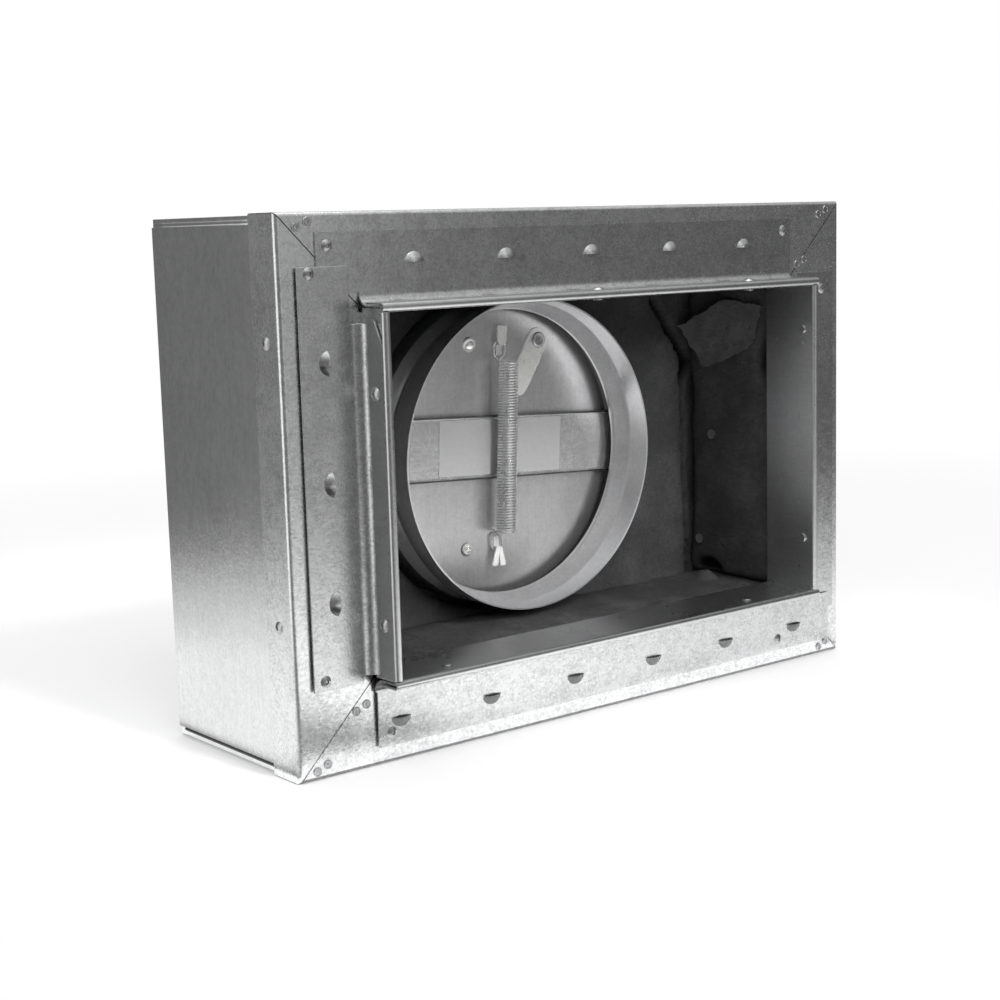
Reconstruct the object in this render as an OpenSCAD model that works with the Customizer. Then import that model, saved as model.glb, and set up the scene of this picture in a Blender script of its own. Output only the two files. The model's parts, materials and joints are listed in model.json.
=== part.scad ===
// Ceiling radiation damper in an insulated register box.
// A round butterfly damper sits in a lined sheet steel box. The box stands on its long side:
// X runs to the right along the face, Y runs from the room into the ceiling, Z is up.
// The origin lies under the middle of the whole part, on the surface it stands on.
// Lengths are in millimetres.

/* [Register opening] */
// Width of the clear opening in the neck
opening_w = 254; // [200:1:320]
// Height of the clear opening in the neck
opening_h = 152.4; // [150:0.2:200]
// How far the neck stands out of the face
neck_out = 20; // [14:0.5:30]
// How far the neck lining reaches into the box
neck_in = 12; // [6:0.5:20]
// Looseness of the edge turned back over the neck
hem_slack = 0.4; // [0:0.1:0.8]
// Gap between the edge turned back over the neck and the bends of the rails
hem_gap = 0.3; // [0.2:0.1:4]

/* [Sheet] */
// Thickness of the box, frame and rail sheet
sheet_t = 0.8; // [0.6:0.1:1.0]
// Gap left between sheets that lie against each other
sheet_gap = 0.05; // [0.02:0.01:0.1]

/* [Face frame] */
// Width of the face between the neck and the outer edge
face_w = 39.8; // [36:0.2:60]
// Depth of the edge turned back over the box
return_d = 20; // [12:1:30]
// Inside radius of the outer bend
face_bend_r = 1.2; // [0.6:0.1:3]
// Radius of the relief hole in each inner corner
relief_r = 1.6; // [0.8:0.1:2.5]

/* [Box] */
// Depth of the box behind the face
box_d = 103; // [96:0.5:125]
// Height of the strip left bare above and below each side panel
seam_step = 3.6; // [2:0.2:8]
// Depth of the edges turned over behind the side panels
lap_d = 12; // [6:0.5:20]
// Depth of the edge turned forward round the back panel
back_edge = 10; // [6:0.5:20]

/* [Liner] */
// Depth of the back liner
back_liner_t = 30; // [20:0.5:36]
// How far the side liners stand back from the clear opening
liner_step = 1.9; // [1.4:0.1:4]
// Gap between the back of the face and the liner
liner_front_gap = 3.2; // [2.8:0.1:8]
// Radius of the hole in the back liner beyond the damper sleeve
liner_hole_gap = 4; // [3:0.5:10]
// Gap between the back liner and the back panel
liner_rear_gap = 0.6; // [0.4:0.1:1]
// Thickness of the loose folded flap
flap_t = 3; // [2:0.2:4]

/* [Rails] */
// Outside reach of a rail from the clear opening
rail_reach = 32.6; // [30:0.2:36]
// Extra reach of the right rail
right_extra = 3; // [0:0.5:4]
// Radius of the wide bend between flange and leg
rail_bend_r = 5.5; // [3:0.5:7]
// How far the left and bottom rails stand off the face
rail_lift = 1; // [0.9:0.1:2]
// Distance between two pressed louvres
louvre_pitch = 49.6; // [40:0.2:60]
// Distance of the louvres' mouths from the clear opening
louvre_reach = 19.3; // [15.3:0.5:21.3]
// Extra distance of the bottom rail's louvres
louvre_low = 1.4; // [0:0.2:2]
// Length of a louvre along its mouth
louvre_l = 10.5; // [8:0.5:16]
// Depth of a louvre behind its mouth
louvre_w = 4.4; // [3:0.2:7]
// Height of a louvre above the rail
louvre_h = 2.4; // [1.5:0.1:4]
// Reach of the top rail past the clear opening on the left
rail_long = 22.5; // [16:0.5:26]
// Reach of the top rail past the clear opening on the right
rail_short = 3.6; // [1:0.2:6]
// Distance of the rail screws from the ends of the rails
rail_screw_in = 5.4; // [4:0.2:10]
// Distance of the rail screws from the clear opening
screw_reach = 27; // [26:0.5:29]

/* [Damper sleeve] */
// Outside radius of the damper sleeve
sleeve_r = 75.2; // [70:0.1:80]
// Wall of the damper sleeve
sleeve_t = 0.8; // [0.6:0.1:1.2]
// Distance from the face to the front rim of the sleeve
rim_y = 45.5; // [38:0.5:50]
// Distance from the face to the start of the blade stop
stop_y = 57.5; // [54:0.5:60]
// Depth of the blade stop pressed into the sleeve
stop_depth = 5; // [2:0.1:6]
// Length of the sleeve behind the box
spigot_l = 50; // [50:1:90]
// Height of the bead that stops the duct
bead_h = 1.5; // [0.8:0.1:2.5]
// Distance of the bead behind the box
bead_back = 11; // [10:0.5:20]
// Turn of the damper in the box
damper_turn = 3; // [0:0.5:8]

/* [Blades] */
// Distance from the face to the closed blades
blade_y = 72.3; // [71.9:0.1:74]
// Clearance between the rim of the blades and the sleeve
blade_gap = 2.4; // [1.8:0.1:3.6]
// Thickness of a blade
blade_t = 1; // [0.8:0.1:1.2]
// Radius of the hinge rod
rod_r = 2; // [1.6:0.05:2.4]
// Running clearance round the hinge rod
rod_gap = 0.06; // [0.03:0.01:0.1]
// Length of one hinge knuckle with its gap
knuckle_l = 24; // [16:0.5:26]
// Gap between two knuckles
knuckle_gap = 0.6; // [0.3:0.1:1.5]

/* [Cross bar] */
// Height of the cross bar
bar_h = 31; // [26:0.5:36]
// Height of the bar's middle above the hinge line
bar_rise = 2.2; // [0:0.2:3]
// How far the lips of the bar stand forward
lip_h = 1.9; // [1:0.1:2.6]
// Width of the plain label plate
label_w = 76; // [50:1:100]
// Height of the plain label plate
label_h = 27; // [20:0.5:27]

/* [Spring and clips] */
// Sideways place of the spring
spring_x = -1.8; // [-6:0.1:0]
// Outside radius of the spring
spring_r = 5; // [4:0.1:5.5]
// Radius of the spring wire
wire_r = 0.55; // [0.4:0.05:0.6]
// Number of turns
spring_turns = 62; // [40:1:62]
// Length of the coiled part
coil_l = 84; // [76:0.5:88]
// Distance from the middle of the spring to the root of each clip
clip_root = 49.5; // [48:0.5:54]
// Width of the strip that carries a clip
clip_w = 3.4; // [2.6:0.1:4]
// Length of the raised tongue of a clip
tongue_l = 9.6; // [6:0.2:12]

/* [Fusible link] */
// Width of a link plate
link_w = 12.7; // [9:0.1:13]
// Length of the whole link
link_l = 37; // [32:0.5:42]
// Thickness of a link plate
link_t = 0.7; // [0.5:0.05:0.8]
// Lean of the link from upright
link_lean = 31; // [20:1:34]
// Sideways place of the link's rivet
link_x = 23.1; // [22:0.1:26]
// Height of the link's rivet above the hinge line
link_z = 54; // [50:0.5:56]

/* [Hidden] */
// Fineness of the round shapes
$fn = 64;

// Clear half sizes of the neck
half_w = opening_w / 2;
half_h = opening_h / 2;

// Layers of the neck, counted outward from the clear opening
frame_leg_u = sheet_t + 2 * sheet_gap;
rail_leg_u = frame_leg_u + sheet_t + sheet_gap;
hem_u = rail_leg_u + sheet_t + sheet_gap + hem_slack;
lip_u = hem_u + sheet_t;
hem_r = lip_u / 2;

// Outer edge of the face, counted from the clear opening
edge_u = frame_leg_u + face_w;
frame_w = opening_w + 2 * edge_u;
frame_h = opening_h + 2 * edge_u;
box_w = frame_w - 2 * sheet_t;
box_h = frame_h - 2 * sheet_t;
panel_front = sheet_t + face_bend_r;

// Front ends of the legs inside the hem
leg_front = -neck_out + hem_r + 0.1;
hem_end = -rail_lift - sheet_t - rail_bend_r - hem_gap;
bend_u = rail_leg_u + sheet_t + rail_bend_r;
leg_over = rail_leg_u + sheet_t - 0.25;
leg_clear = 0.3;
leg_notch = 4.8;

// Middle of the part along the depth
back_y = box_d + spigot_l;
mid_y = (back_y - neck_out) / 2;

// Damper sleeve
sleeve_in = sleeve_r - sleeve_t;
blade_r = sleeve_in - blade_gap;
stop_mid = stop_y + 8.5;
stop_end = stop_y + 13;
bead_y = box_d + bead_back;

// Hinge
knuckle_r = rod_r + rod_gap + blade_t;
rod_y = blade_y + knuckle_r;
edge_gap = 0.4;
rod_end = sleeve_r + 0.1;

// Cross bar
bar_gap = 0.3;
bar_t = 1;
bar_back = blade_y - bar_gap;
bar_front = bar_back - bar_t;
lip_front = bar_front - lip_h;
bar_end_r = sleeve_in - 0.3;
lip_end = stop_depth * (stop_end - lip_front) / (stop_end - stop_mid - 0.8) + 0.3;
tab_half = 8;
tab_out = sqrt(pow(bar_end_r, 2) - pow(tab_half + 1, 2));
tab_back = rod_y + 10.6;
tab_rivet_y = rod_y + 6.6;

// Spring
coil_r = spring_r - wire_r;
spring_y = lip_front - 0.4 - spring_r;
coil_back = spring_y + coil_r;
ring_y = blade_y - 0.8 - wire_r;
ring_r = 3.3;
tongue_back = ring_y - wire_r - 0.8;
clip_t = 1;
hook_gap = 0.15;
ring_top = clip_root + clip_t + ring_r - sqrt(pow(ring_r - wire_r - hook_gap, 2) - pow(clip_w / 2, 2));
ring_low = coil_l / 2 + wire_r + 0.3;
ring_h = ring_top - ring_low - 2 * ring_r;

// Fusible link
link_y = blade_y - 0.05;

// Liner
liner_u = liner_step;
back_liner_y = box_d - sheet_t - liner_rear_gap - back_liner_t;
liner_hole_r = sleeve_r + liner_hole_gap;
liner_front = sheet_t + liner_front_gap;

// Radii of a louvre: its round outline on the sheet, and the ball that it is part of
louvre_round = (louvre_l * louvre_l / 4 + louvre_w * louvre_w) / (2 * louvre_w);
louvre_r = (louvre_round * louvre_round + louvre_h * louvre_h) / (2 * louvre_h);

// Rails: flange from and to, leg from and to, middle and number of the louvres, screws, lift, extra reach
rail_top_at = [
    -half_w - rail_long, half_w + rail_short, -half_w - leg_over, half_w + leg_over,
    -1.6, 5, [-half_w - rail_long + rail_screw_in, half_w + rail_short - rail_screw_in], 0, 0];
rail_bottom_at = [
    -half_w - 1.4, half_w + rail_long + 8.4, -half_w - leg_over, half_w + leg_over,
    7.3, 6, [-half_w + rail_screw_in, half_w - 7.5], rail_lift, 0];
rail_left_at = [
    -half_h - 2.8, half_h + 18.8, leg_clear - half_h, half_h - leg_notch,
    6.5, 3, [-half_h + 1.2, half_h + 16.1], rail_lift, 0];
rail_right_at = [
    -half_h - 15.8, half_h + 5.8, leg_clear - half_h, half_h - leg_clear,
    17.1, 3, [half_h - 2.7], 0, right_extra];

// Fastener places
neck_rivet_y = -12;
neck_rivets_top = [-8.4, half_w - 38.2];
neck_rivets_bottom = [-half_w + 28.1, half_w - 41];
neck_rivets_left = [-half_h + 22.8, half_h - 33.2];
neck_rivets_right = [-half_h + 26, half_h - 21.6];
side_rivet_y = 10.5;
side_rivets_z = [-half_h + 24.2, half_h - 11.2];
pins_at = [[back_liner_y - 18.6, -2.7], [back_liner_y - 9, -half_h + 16.4]];
flange_rivets_n = 6;

// Colours
galvanised = [0.72, 0.73, 0.74];
dark_zinc = [0.58, 0.59, 0.60];
bright = [0.85, 0.85, 0.86];
liner_black = [0.10, 0.10, 0.105];
foil = [0.80, 0.80, 0.79];

// Moves a piece from the face frame, whose middle is zero, to its place above the ground
module place() {
    translate([0, -mid_y, frame_h / 2]) children();
}

// Turns the damper about the middle of the box
module damper() {
    place() rotate([0, damper_turn, 0]) children();
}

// Brings a piece drawn for the top of the neck to another side
module to_side(side) {
    if (side == "top") children();
    if (side == "bottom") mirror([0, 0, 1]) children();
    if (side == "left") rotate([0, -90, 0]) children();
    if (side == "right") mirror([1, 0, 0]) rotate([0, -90, 0]) children();
}

// Clear half size across a side, and along it
function across(side) = side == "top" || side == "bottom" ? half_h : half_w;
function along(side) = side == "top" || side == "bottom" ? half_w : half_h;

// Extrudes a section drawn as depth and height along X
module along_x(from, to) {
    translate([from, 0, 0]) rotate([90, 0, 90]) linear_extrude(to - from) children();
}

// Extrudes an outline drawn as width and height through the depth
module through_y(from, to) {
    translate([0, to, 0]) rotate([90, 0, 0]) linear_extrude(to - from) children();
}

// Extrudes an outline drawn as depth and height outward to the right
module through_x(from, to) {
    translate([from, 0, 0]) rotate([90, 0, 90]) linear_extrude(to - from) children();
}

// Rod along the depth
module rod_y_dir(r, from, to) {
    translate([0, from, 0]) rotate([-90, 0, 0]) cylinder(r = r, h = to - from);
}

// Rod along the width
module rod_x_dir(r, from, to) {
    translate([from, 0, 0]) rotate([0, 90, 0]) cylinder(r = r, h = to - from);
}

// Revolves a section drawn as radius and depth about the depth axis
module about_y() {
    rotate([-90, 0, 0]) rotate_extrude() children();
}

// Quarter of a bent sheet, towards the signs given
module quarter_bend(r, t, sx, sy) {
    intersection() {
        difference() {
            circle(r = r + t);
            circle(r = r);
        }
        translate([sx > 0 ? 0 : -r - t - 1, sy > 0 ? 0 : -r - t - 1]) square(r + t + 1);
    }
}

// Button headed rivet along the depth: the head in front of zero, the tail behind the grip
module rivet(r, head_r, head_h, grip, tail_h) {
    cap_r = (head_r * head_r + head_h * head_h) / (2 * head_h);
    about_y() intersection() {
        translate([0, cap_r - head_h]) circle(r = cap_r);
        translate([0, -head_h - 1]) square([head_r + 1, head_h + 1]);
    }
    rod_y_dir(r, -0.01, grip + 0.01);
    rod_y_dir(r + 0.7, grip, grip + tail_h);
}

// Box panels

// Section of the top panel with its turned down edges, drawn as width and height
module lid_section() {
    w = box_w / 2 - sheet_t;
    translate([-w, box_h / 2 - sheet_t]) square([2 * w, sheet_t]);
    for (s = [-1, 1])
        translate([s * (w - sheet_t / 2) - sheet_t / 2, box_h / 2 - lap_d]) square([sheet_t, lap_d - sheet_t / 2]);
}

module top_panel() {
    color(galvanised) place() through_y(panel_front, box_d) lid_section();
}

module bottom_panel() {
    color(galvanised) place() mirror([0, 0, 1]) through_y(panel_front, box_d) lid_section();
}

// Side panel, laid over the turned edges of the top and bottom panels
module side_panel() {
    h = box_h - 2 * seam_step;
    difference() {
        translate([-box_w / 2, panel_front, -h / 2]) cube([sheet_t, box_d - panel_front, h]);
        for (z = side_rivets_z)
            translate([-box_w / 2 - 1, side_rivet_y, z]) rotate([0, 90, 0]) cylinder(r = 1.65, h = 3);
    }
}

module left_panel() {
    color(galvanised) place() side_panel();
}

module right_panel() {
    color(galvanised) place() mirror([1, 0, 0]) side_panel();
}

// Back panel with a turned edge and the hole for the damper sleeve
module back_panel() {
    w = box_w - 4 * sheet_t - 2 * sheet_gap;
    h = box_h - 2 * sheet_t - 2 * sheet_gap;
    color(galvanised) place() difference() {
        translate([-w / 2, box_d - back_edge, -h / 2]) cube([w, back_edge, h]);
        translate([-w / 2 + sheet_t, box_d - back_edge - 1, -h / 2 + sheet_t])
            cube([w - 2 * sheet_t, back_edge + 1 - sheet_t, h - 2 * sheet_t]);
        rod_y_dir(sleeve_r + 0.3, box_d - 2, box_d + 1);
        for (i = [0:flange_rivets_n - 1])
            rotate([0, i * 360 / flange_rivets_n + 30, 0]) translate([sleeve_r + 7, 0, 0])
                rod_y_dir(1.65, box_d - 2, box_d + 1);
    }
}

// Face frame

// Section of a face piece, drawn as depth and distance from the clear opening
module face_section() {
    r = face_bend_r;
    translate([leg_front, frame_leg_u]) square([sheet_t - leg_front, sheet_t]);
    translate([0, frame_leg_u]) square([sheet_t, face_w - r - sheet_t]);
    translate([r + sheet_t, edge_u - sheet_t]) square([return_d - r - sheet_t, sheet_t]);
    translate([r + sheet_t, edge_u - r - sheet_t]) quarter_bend(r, sheet_t, -1, 1);
}

// One mitred face piece, drawn for the top
module face_piece(side) {
    u = across(side);
    l = along(side) + edge_u;
    k = face_w + 3;
    difference() {
        intersection() {
            along_x(-l, l) translate([0, u]) face_section();
            through_y(-neck_out - 1, return_d + 1)
                polygon([[-l, u + edge_u], [l, u + edge_u], [l - k, u + edge_u - k], [k - l, u + edge_u - k]]);
        }
        for (s = [-1, 1])
            translate([s * (l - face_w), 0, u + edge_u - face_w]) rod_y_dir(relief_r, -2, 2);
        if (side == "left" || side == "right")
            for (z = side_rivets_z)
                translate([z, side_rivet_y, u + edge_u - 2]) cylinder(r = 1.65, h = 3);
        for (s = neck_rivet_places(side))
            translate([s, neck_rivet_y, u - 1]) cylinder(r = 1.65, h = 6);
        for (s = rail_places(side)[6])
            translate([s, 0, u + screw_reach]) rod_y_dir(1.65, -1, 2);
    }
}

function neck_rivet_places(side) =
    side == "top" ? neck_rivets_top : side == "bottom" ? neck_rivets_bottom
    : side == "left" ? neck_rivets_left : neck_rivets_right;

function rail_places(side) =
    side == "top" ? rail_top_at : side == "bottom" ? rail_bottom_at
    : side == "left" ? rail_left_at : rail_right_at;

module frame_top() {
    color(galvanised) place() to_side("top") face_piece("top");
}

module frame_bottom() {
    color(galvanised) place() to_side("bottom") face_piece("bottom");
}

module frame_left() {
    color(galvanised) place() to_side("left") face_piece("left");
}

module frame_right() {
    color(galvanised) place() to_side("right") face_piece("right");
}

// Pressed buttons that hold the mitres together
module clinch_pair(x, z) {
    for (s = [-1, 1])
        translate([x + s * 2.6, -0.6, z + s * 1.1]) rod_y_dir(2, 0, 0.6);
}

module corner_clinches() {
    cx = frame_w / 2;
    cz = frame_h / 2;
    color(dark_zinc) place() {
        clinch_pair(-cx + 11.5, -cz + 5);
        clinch_pair(cx - 12.5, cz - 5);
        clinch_pair(-cx + 12.5, cz - 5);
        clinch_pair(cx - 12.5, -cz + 5);
        clinch_pair(-cx + 32, -cz + 27);
        clinch_pair(cx - 28.5, cz - 29.5);
    }
}

// Rivets through the turned edge and the side panels
module side_rivets() {
    color(dark_zinc) place() for (side = ["left", "right"]) to_side(side)
        for (z = side_rivets_z)
            translate([z, side_rivet_y, half_w + edge_u]) rotate([-90, 0, 0]) rivet(1.6, 2.8, 1.2, 2 * sheet_t, 0.6);
}

// Rails

// Section of the leg and the wide bend, drawn as depth and distance from the clear opening
module rail_leg_section(lift) {
    bend_y = -lift - sheet_t - rail_bend_r;
    translate([leg_front, rail_leg_u]) square([bend_y - leg_front, sheet_t]);
    translate([bend_y, bend_u]) quarter_bend(rail_bend_r, sheet_t, 1, -1);
}

// Half round louvre pressed out of the sheet, a ball's skin cut flat at its mouth
module louvre_form(r, back) {
    intersection() {
        translate([0, louvre_r - louvre_h, louvre_w - louvre_round]) sphere(r = r, $fn = 96);
        translate([-louvre_l, -louvre_h - 1, 0]) cube([2 * louvre_l, louvre_h + 1 + back, louvre_w + 3]);
    }
}

// Places the louvres of one rail, their mouths towards the opening
module louvre_places(side) {
    p = rail_places(side);
    reach = louvre_reach + (side == "bottom" ? louvre_low : 0);
    for (i = [0:p[5] - 1])
        translate([p[4] + (i - (p[5] - 1) / 2) * louvre_pitch, -p[7] - sheet_t, across(side) + reach]) children();
}

module rail(side) {
    p = rail_places(side);
    u = across(side);
    lift = p[7];
    difference() {
        union() {
            along_x(p[2], p[3]) translate([0, u]) rail_leg_section(lift);
            translate([p[0], -lift - sheet_t, u + bend_u])
                cube([p[1] - p[0], sheet_t, rail_reach + p[8] - bend_u]);
            louvre_places(side) louvre_form(louvre_r, sheet_t / 2);
        }
        louvre_places(side) louvre_form(louvre_r - sheet_t, sheet_t + 0.5);
        for (s = p[6])
            translate([s, 0, u + screw_reach]) rod_y_dir(1.65, -lift - sheet_t - 1, 1);
        for (s = neck_rivet_places(side))
            translate([s, neck_rivet_y, u - 1]) cylinder(r = 1.65, h = 6);
    }
}

module rail_top() {
    color(galvanised) place() to_side("top") rail("top");
}

module rail_bottom() {
    color(galvanised) place() to_side("bottom") rail("bottom");
}

module rail_left() {
    color(galvanised) place() to_side("left") rail("left");
}

module rail_right() {
    color(galvanised) place() to_side("right") rail("right");
}

module rail_screws() {
    color(dark_zinc) place() for (side = ["top", "bottom", "left", "right"]) to_side(side) {
        p = rail_places(side);
        for (s = p[6])
            translate([s, -p[7] - sheet_t, across(side) + screw_reach])
                rivet(1.6, 2.6, 1.1, p[7] + 2 * sheet_t, 0.8);
    }
}

// Neck lining

// Section of the lining with its rounded hem, drawn as depth and distance from the clear opening
module hem_section() {
    r = hem_r;
    translate([-neck_out + r, r]) intersection() {
        difference() {
            circle(r = r);
            circle(r = r - sheet_t);
        }
        translate([-r - 1, -r - 1]) square([r + 1, 2 * r + 2]);
    }
    translate([-neck_out + r, hem_u]) square([hem_end + neck_out - r, sheet_t]);
}

module neck_piece(side) {
    u = across(side);
    full = side == "top" || side == "bottom";
    hem_l = full ? half_w + lip_u : half_h - sheet_gap;
    in_l = full ? half_w + frame_leg_u - sheet_gap : half_h - sheet_gap;
    difference() {
        union() {
            along_x(-hem_l, hem_l) translate([0, u]) hem_section();
            along_x(-in_l, in_l) translate([-neck_out + hem_r, u]) square([neck_out + neck_in - hem_r, sheet_t]);
        }
        if (!full) translate([0, 0, u + rail_leg_u + sheet_t]) linear_extrude(8)
            polygon([[hem_l - 14, -neck_out + hem_r], [hem_l - 3.5, hem_end - 5], [hem_l - 2, hem_end + 1],
                [hem_l + 1, hem_end + 1], [hem_l + 1, -neck_out + hem_r]]);
        for (s = neck_rivet_places(side))
            translate([s, neck_rivet_y, u - 1]) cylinder(r = 1.65, h = 6);
    }
}

module neck_top() {
    color(galvanised) place() to_side("top") neck_piece("top");
}

module neck_bottom() {
    color(galvanised) place() to_side("bottom") neck_piece("bottom");
}

module neck_left() {
    color(galvanised) place() to_side("left") neck_piece("left");
}

module neck_right() {
    color(galvanised) place() to_side("right") neck_piece("right");
}

// Rivets through all layers of the neck, heads outside
module neck_rivets() {
    color(dark_zinc) place() for (side = ["top", "bottom", "left", "right"]) to_side(side)
        for (s = neck_rivet_places(side))
            translate([s, neck_rivet_y, across(side) + lip_u]) rotate([-90, 0, 0]) rivet(1.6, 3, 1.3, lip_u, 0.9);
}

// Liner

module liner_slab(x0, x1, z0, z1) {
    translate([x0, liner_front, z0]) cube([x1 - x0, back_liner_y - liner_front, z1 - z0]);
}

// Inner half sizes of the box and of the lined space
liner_out_w = box_w / 2 - 3 * sheet_t - sheet_gap;
liner_out_h = box_h / 2 - 2 * sheet_t - sheet_gap;
liner_in_w = half_w + liner_u;
liner_in_h = half_h + liner_u;

module liner_top() {
    color(liner_black) place() liner_slab(-liner_out_w, liner_out_w, liner_in_h, liner_out_h);
}

module liner_bottom() {
    color(liner_black) place() liner_slab(-liner_out_w, liner_out_w, -liner_out_h, -liner_in_h);
}

module side_liner() {
    difference() {
        liner_slab(-liner_out_w, -liner_in_w, -liner_in_h, liner_in_h);
        for (p = pins_at) translate([0, p[0], p[1]]) rod_x_dir(1.3, -liner_out_w - 1, -liner_in_w + 1);
    }
}

module liner_left() {
    color(liner_black) place() side_liner();
}

module liner_right() {
    color(liner_black) place() mirror([1, 0, 0]) side_liner();
}

module liner_back() {
    color(liner_black) place() difference() {
        translate([-liner_out_w, back_liner_y, -liner_out_h])
            cube([2 * liner_out_w, back_liner_t, 2 * liner_out_h]);
        rod_y_dir(liner_hole_r, back_liner_y - 1, box_d);
    }
}

// Loose torn corner of the right liner
module liner_flap() {
    color(liner_black) place() through_x(liner_in_w - 0.3 - flap_t, liner_in_w - 0.3)
        polygon([
            [liner_front + 12, half_h - 10.2], [liner_front + 14, half_h - 25.2],
            [back_liner_y - 13.6, half_h - 42.2], [back_liner_y - 1.6, half_h - 23.2]]);
}

// Weld pins that hold the side liners
module liner_pins() {
    color(dark_zinc) place() for (s = [0, 1]) mirror([s, 0, 0]) for (p = pins_at)
        translate([0, p[0], p[1]]) {
            rod_x_dir(1.2, -box_w / 2 + sheet_t, -liner_in_w + 0.1);
            rod_x_dir(2.6, -liner_in_w, -liner_in_w + 0.7);
        }
}

// Damper sleeve

// Wall of the sleeve as radius and depth, with the blade stop pressed in and a bead for the duct
function sleeve_line(r) = [
    [r, rim_y], [r, stop_y], [r - stop_depth, stop_mid - 0.8], [r - stop_depth, stop_mid + 0.8], [r, stop_end],
    [r, bead_y], [r + bead_h, bead_y + 1.6], [r + bead_h, bead_y + 3], [r, bead_y + 4.6], [r, back_y]];

function reversed(list) = [for (i = [len(list) - 1:-1:0]) list[i]];

module damper_sleeve() {
    color(bright) damper() difference() {
        about_y() polygon(concat(sleeve_line(sleeve_r), reversed(sleeve_line(sleeve_in))));
        translate([0, rod_y, 0]) rod_x_dir(rod_r + 0.05, -sleeve_r - 1, sleeve_r + 1);
        translate([0, tab_rivet_y, 0]) rod_x_dir(1.65, -sleeve_r - 1, sleeve_r + 1);
    }
}

// Angle ring that carries the sleeve on the back panel
module sleeve_flange() {
    color(dark_zinc) damper() difference() {
        about_y() polygon([
            [sleeve_r + 0.05, box_d], [sleeve_r + 13, box_d], [sleeve_r + 13, box_d + sheet_t],
            [sleeve_r + 0.05 + sheet_t, box_d + sheet_t], [sleeve_r + 0.05 + sheet_t, box_d + 9],
            [sleeve_r + 0.05, box_d + 9]]);
        rotate([0, -damper_turn, 0]) for (i = [0:flange_rivets_n - 1])
            rotate([0, i * 360 / flange_rivets_n + 30, 0]) translate([sleeve_r + 7, 0, 0])
                rod_y_dir(1.65, box_d - 1, box_d + 2);
    }
}

module flange_rivets() {
    color(dark_zinc) place() for (i = [0:flange_rivets_n - 1])
        rotate([0, i * 360 / flange_rivets_n + 30, 0]) translate([sleeve_r + 7, box_d + sheet_t, 0])
            rotate([180, 0, 0]) rivet(1.6, 2.9, 1.3, 2 * sheet_t, liner_rear_gap - 0.1);
}

// Cross bar

// Channel section, drawn as depth and height about the bar's middle
module bar_section() {
    translate([bar_front, -bar_h / 2]) square([bar_t, bar_h]);
    for (s = [-1, 1])
        translate([lip_front, s * (bar_h / 2 - bar_t / 2) - bar_t / 2]) square([lip_h + bar_t, bar_t]);
}

module cross_bar() {
    color(galvanised) damper() {
        intersection() {
            translate([0, 0, bar_rise]) along_x(-tab_out, tab_out) bar_section();
            about_y() polygon([
                [0, lip_front - 1], [bar_end_r - lip_end, lip_front - 1], [bar_end_r - lip_end, bar_front],
                [bar_end_r, bar_front], [bar_end_r, bar_back + 1], [0, bar_back + 1]]);
        }
        for (s = [0, 1]) mirror([s, 0, 0]) difference() {
            translate([tab_out - bar_t, bar_front, -tab_half]) cube([bar_t, tab_back - bar_front, 2 * tab_half]);
            translate([0, rod_y, 0]) rod_x_dir(rod_r + 0.05, tab_out - 3, tab_out + 2);
            translate([0, tab_rivet_y, 0]) rod_x_dir(1.65, tab_out - 3, tab_out + 2);
        }
    }
}

module bar_rivets() {
    color(dark_zinc) damper() for (s = [0, 1]) mirror([s, 0, 0]) translate([0, tab_rivet_y, 0]) {
        rod_x_dir(1.6, tab_out - bar_t - 0.1, sleeve_r + 0.2);
        rod_x_dir(2.4, tab_out - bar_t - 0.5, tab_out - bar_t);
        rod_x_dir(2.8, sleeve_r + 0.05, sleeve_r + 1.3);
    }
}

module label_plate() {
    color(foil) damper() translate([-label_w / 2, bar_front - 0.3, bar_rise - label_h / 2])
        cube([label_w, 0.3, label_h]);
}

// Blades

module hinge_rod() {
    color(dark_zinc) damper() translate([0, rod_y, 0]) {
        rod_x_dir(rod_r, -rod_end, rod_end);
        for (s = [0, 1]) mirror([s, 0, 0]) rod_x_dir(3, sleeve_r + 0.05, sleeve_r + 1.6);
    }
}

// Half disc with knuckles, drawn for the upper blade
module blade(own) {
    front = blade_y;
    difference() {
        union() {
            intersection() {
                rod_y_dir(blade_r, front, front + blade_t);
                translate([-blade_r - 1, front - 1, knuckle_r + edge_gap])
                    cube([2 * blade_r + 2, blade_t + 2, blade_r]);
            }
            for (i = own) translate([(i - 2.5) * knuckle_l + knuckle_gap / 2, 0, 0]) {
                translate([0, front, 0]) cube([knuckle_l - knuckle_gap, blade_t, knuckle_r + edge_gap + 0.1]);
                translate([0, rod_y, 0]) rod_x_dir(knuckle_r, 0, knuckle_l - knuckle_gap);
            }
        }
        translate([0, rod_y, 0]) rod_x_dir(rod_r + rod_gap, -blade_r, blade_r);
    }
}

rivet_x = -19.4;
rivet_z = 50;
dome_r = 4;

module upper_blade() {
    color(galvanised) damper() difference() {
        blade([0, 2, 4]);
        translate([rivet_x, 0, bar_rise + rivet_z]) rod_y_dir(1.65, blade_y - 1, blade_y + 3);
        translate([link_x, 0, link_z]) rod_y_dir(1.65, blade_y - 1, blade_y + 3);
    }
}

module lower_blade() {
    color(galvanised) damper() difference() {
        mirror([0, 0, 1]) blade([1, 3]);
        translate([rivet_x, 0, bar_rise - rivet_z]) rod_y_dir(1.65, blade_y - 1, blade_y + 3);
    }
}

module upper_blade_rivet() {
    color(bright) damper() translate([rivet_x, blade_y, bar_rise + rivet_z])
        rivet(1.6, dome_r, 2.4, blade_t, 0.9);
}

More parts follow.
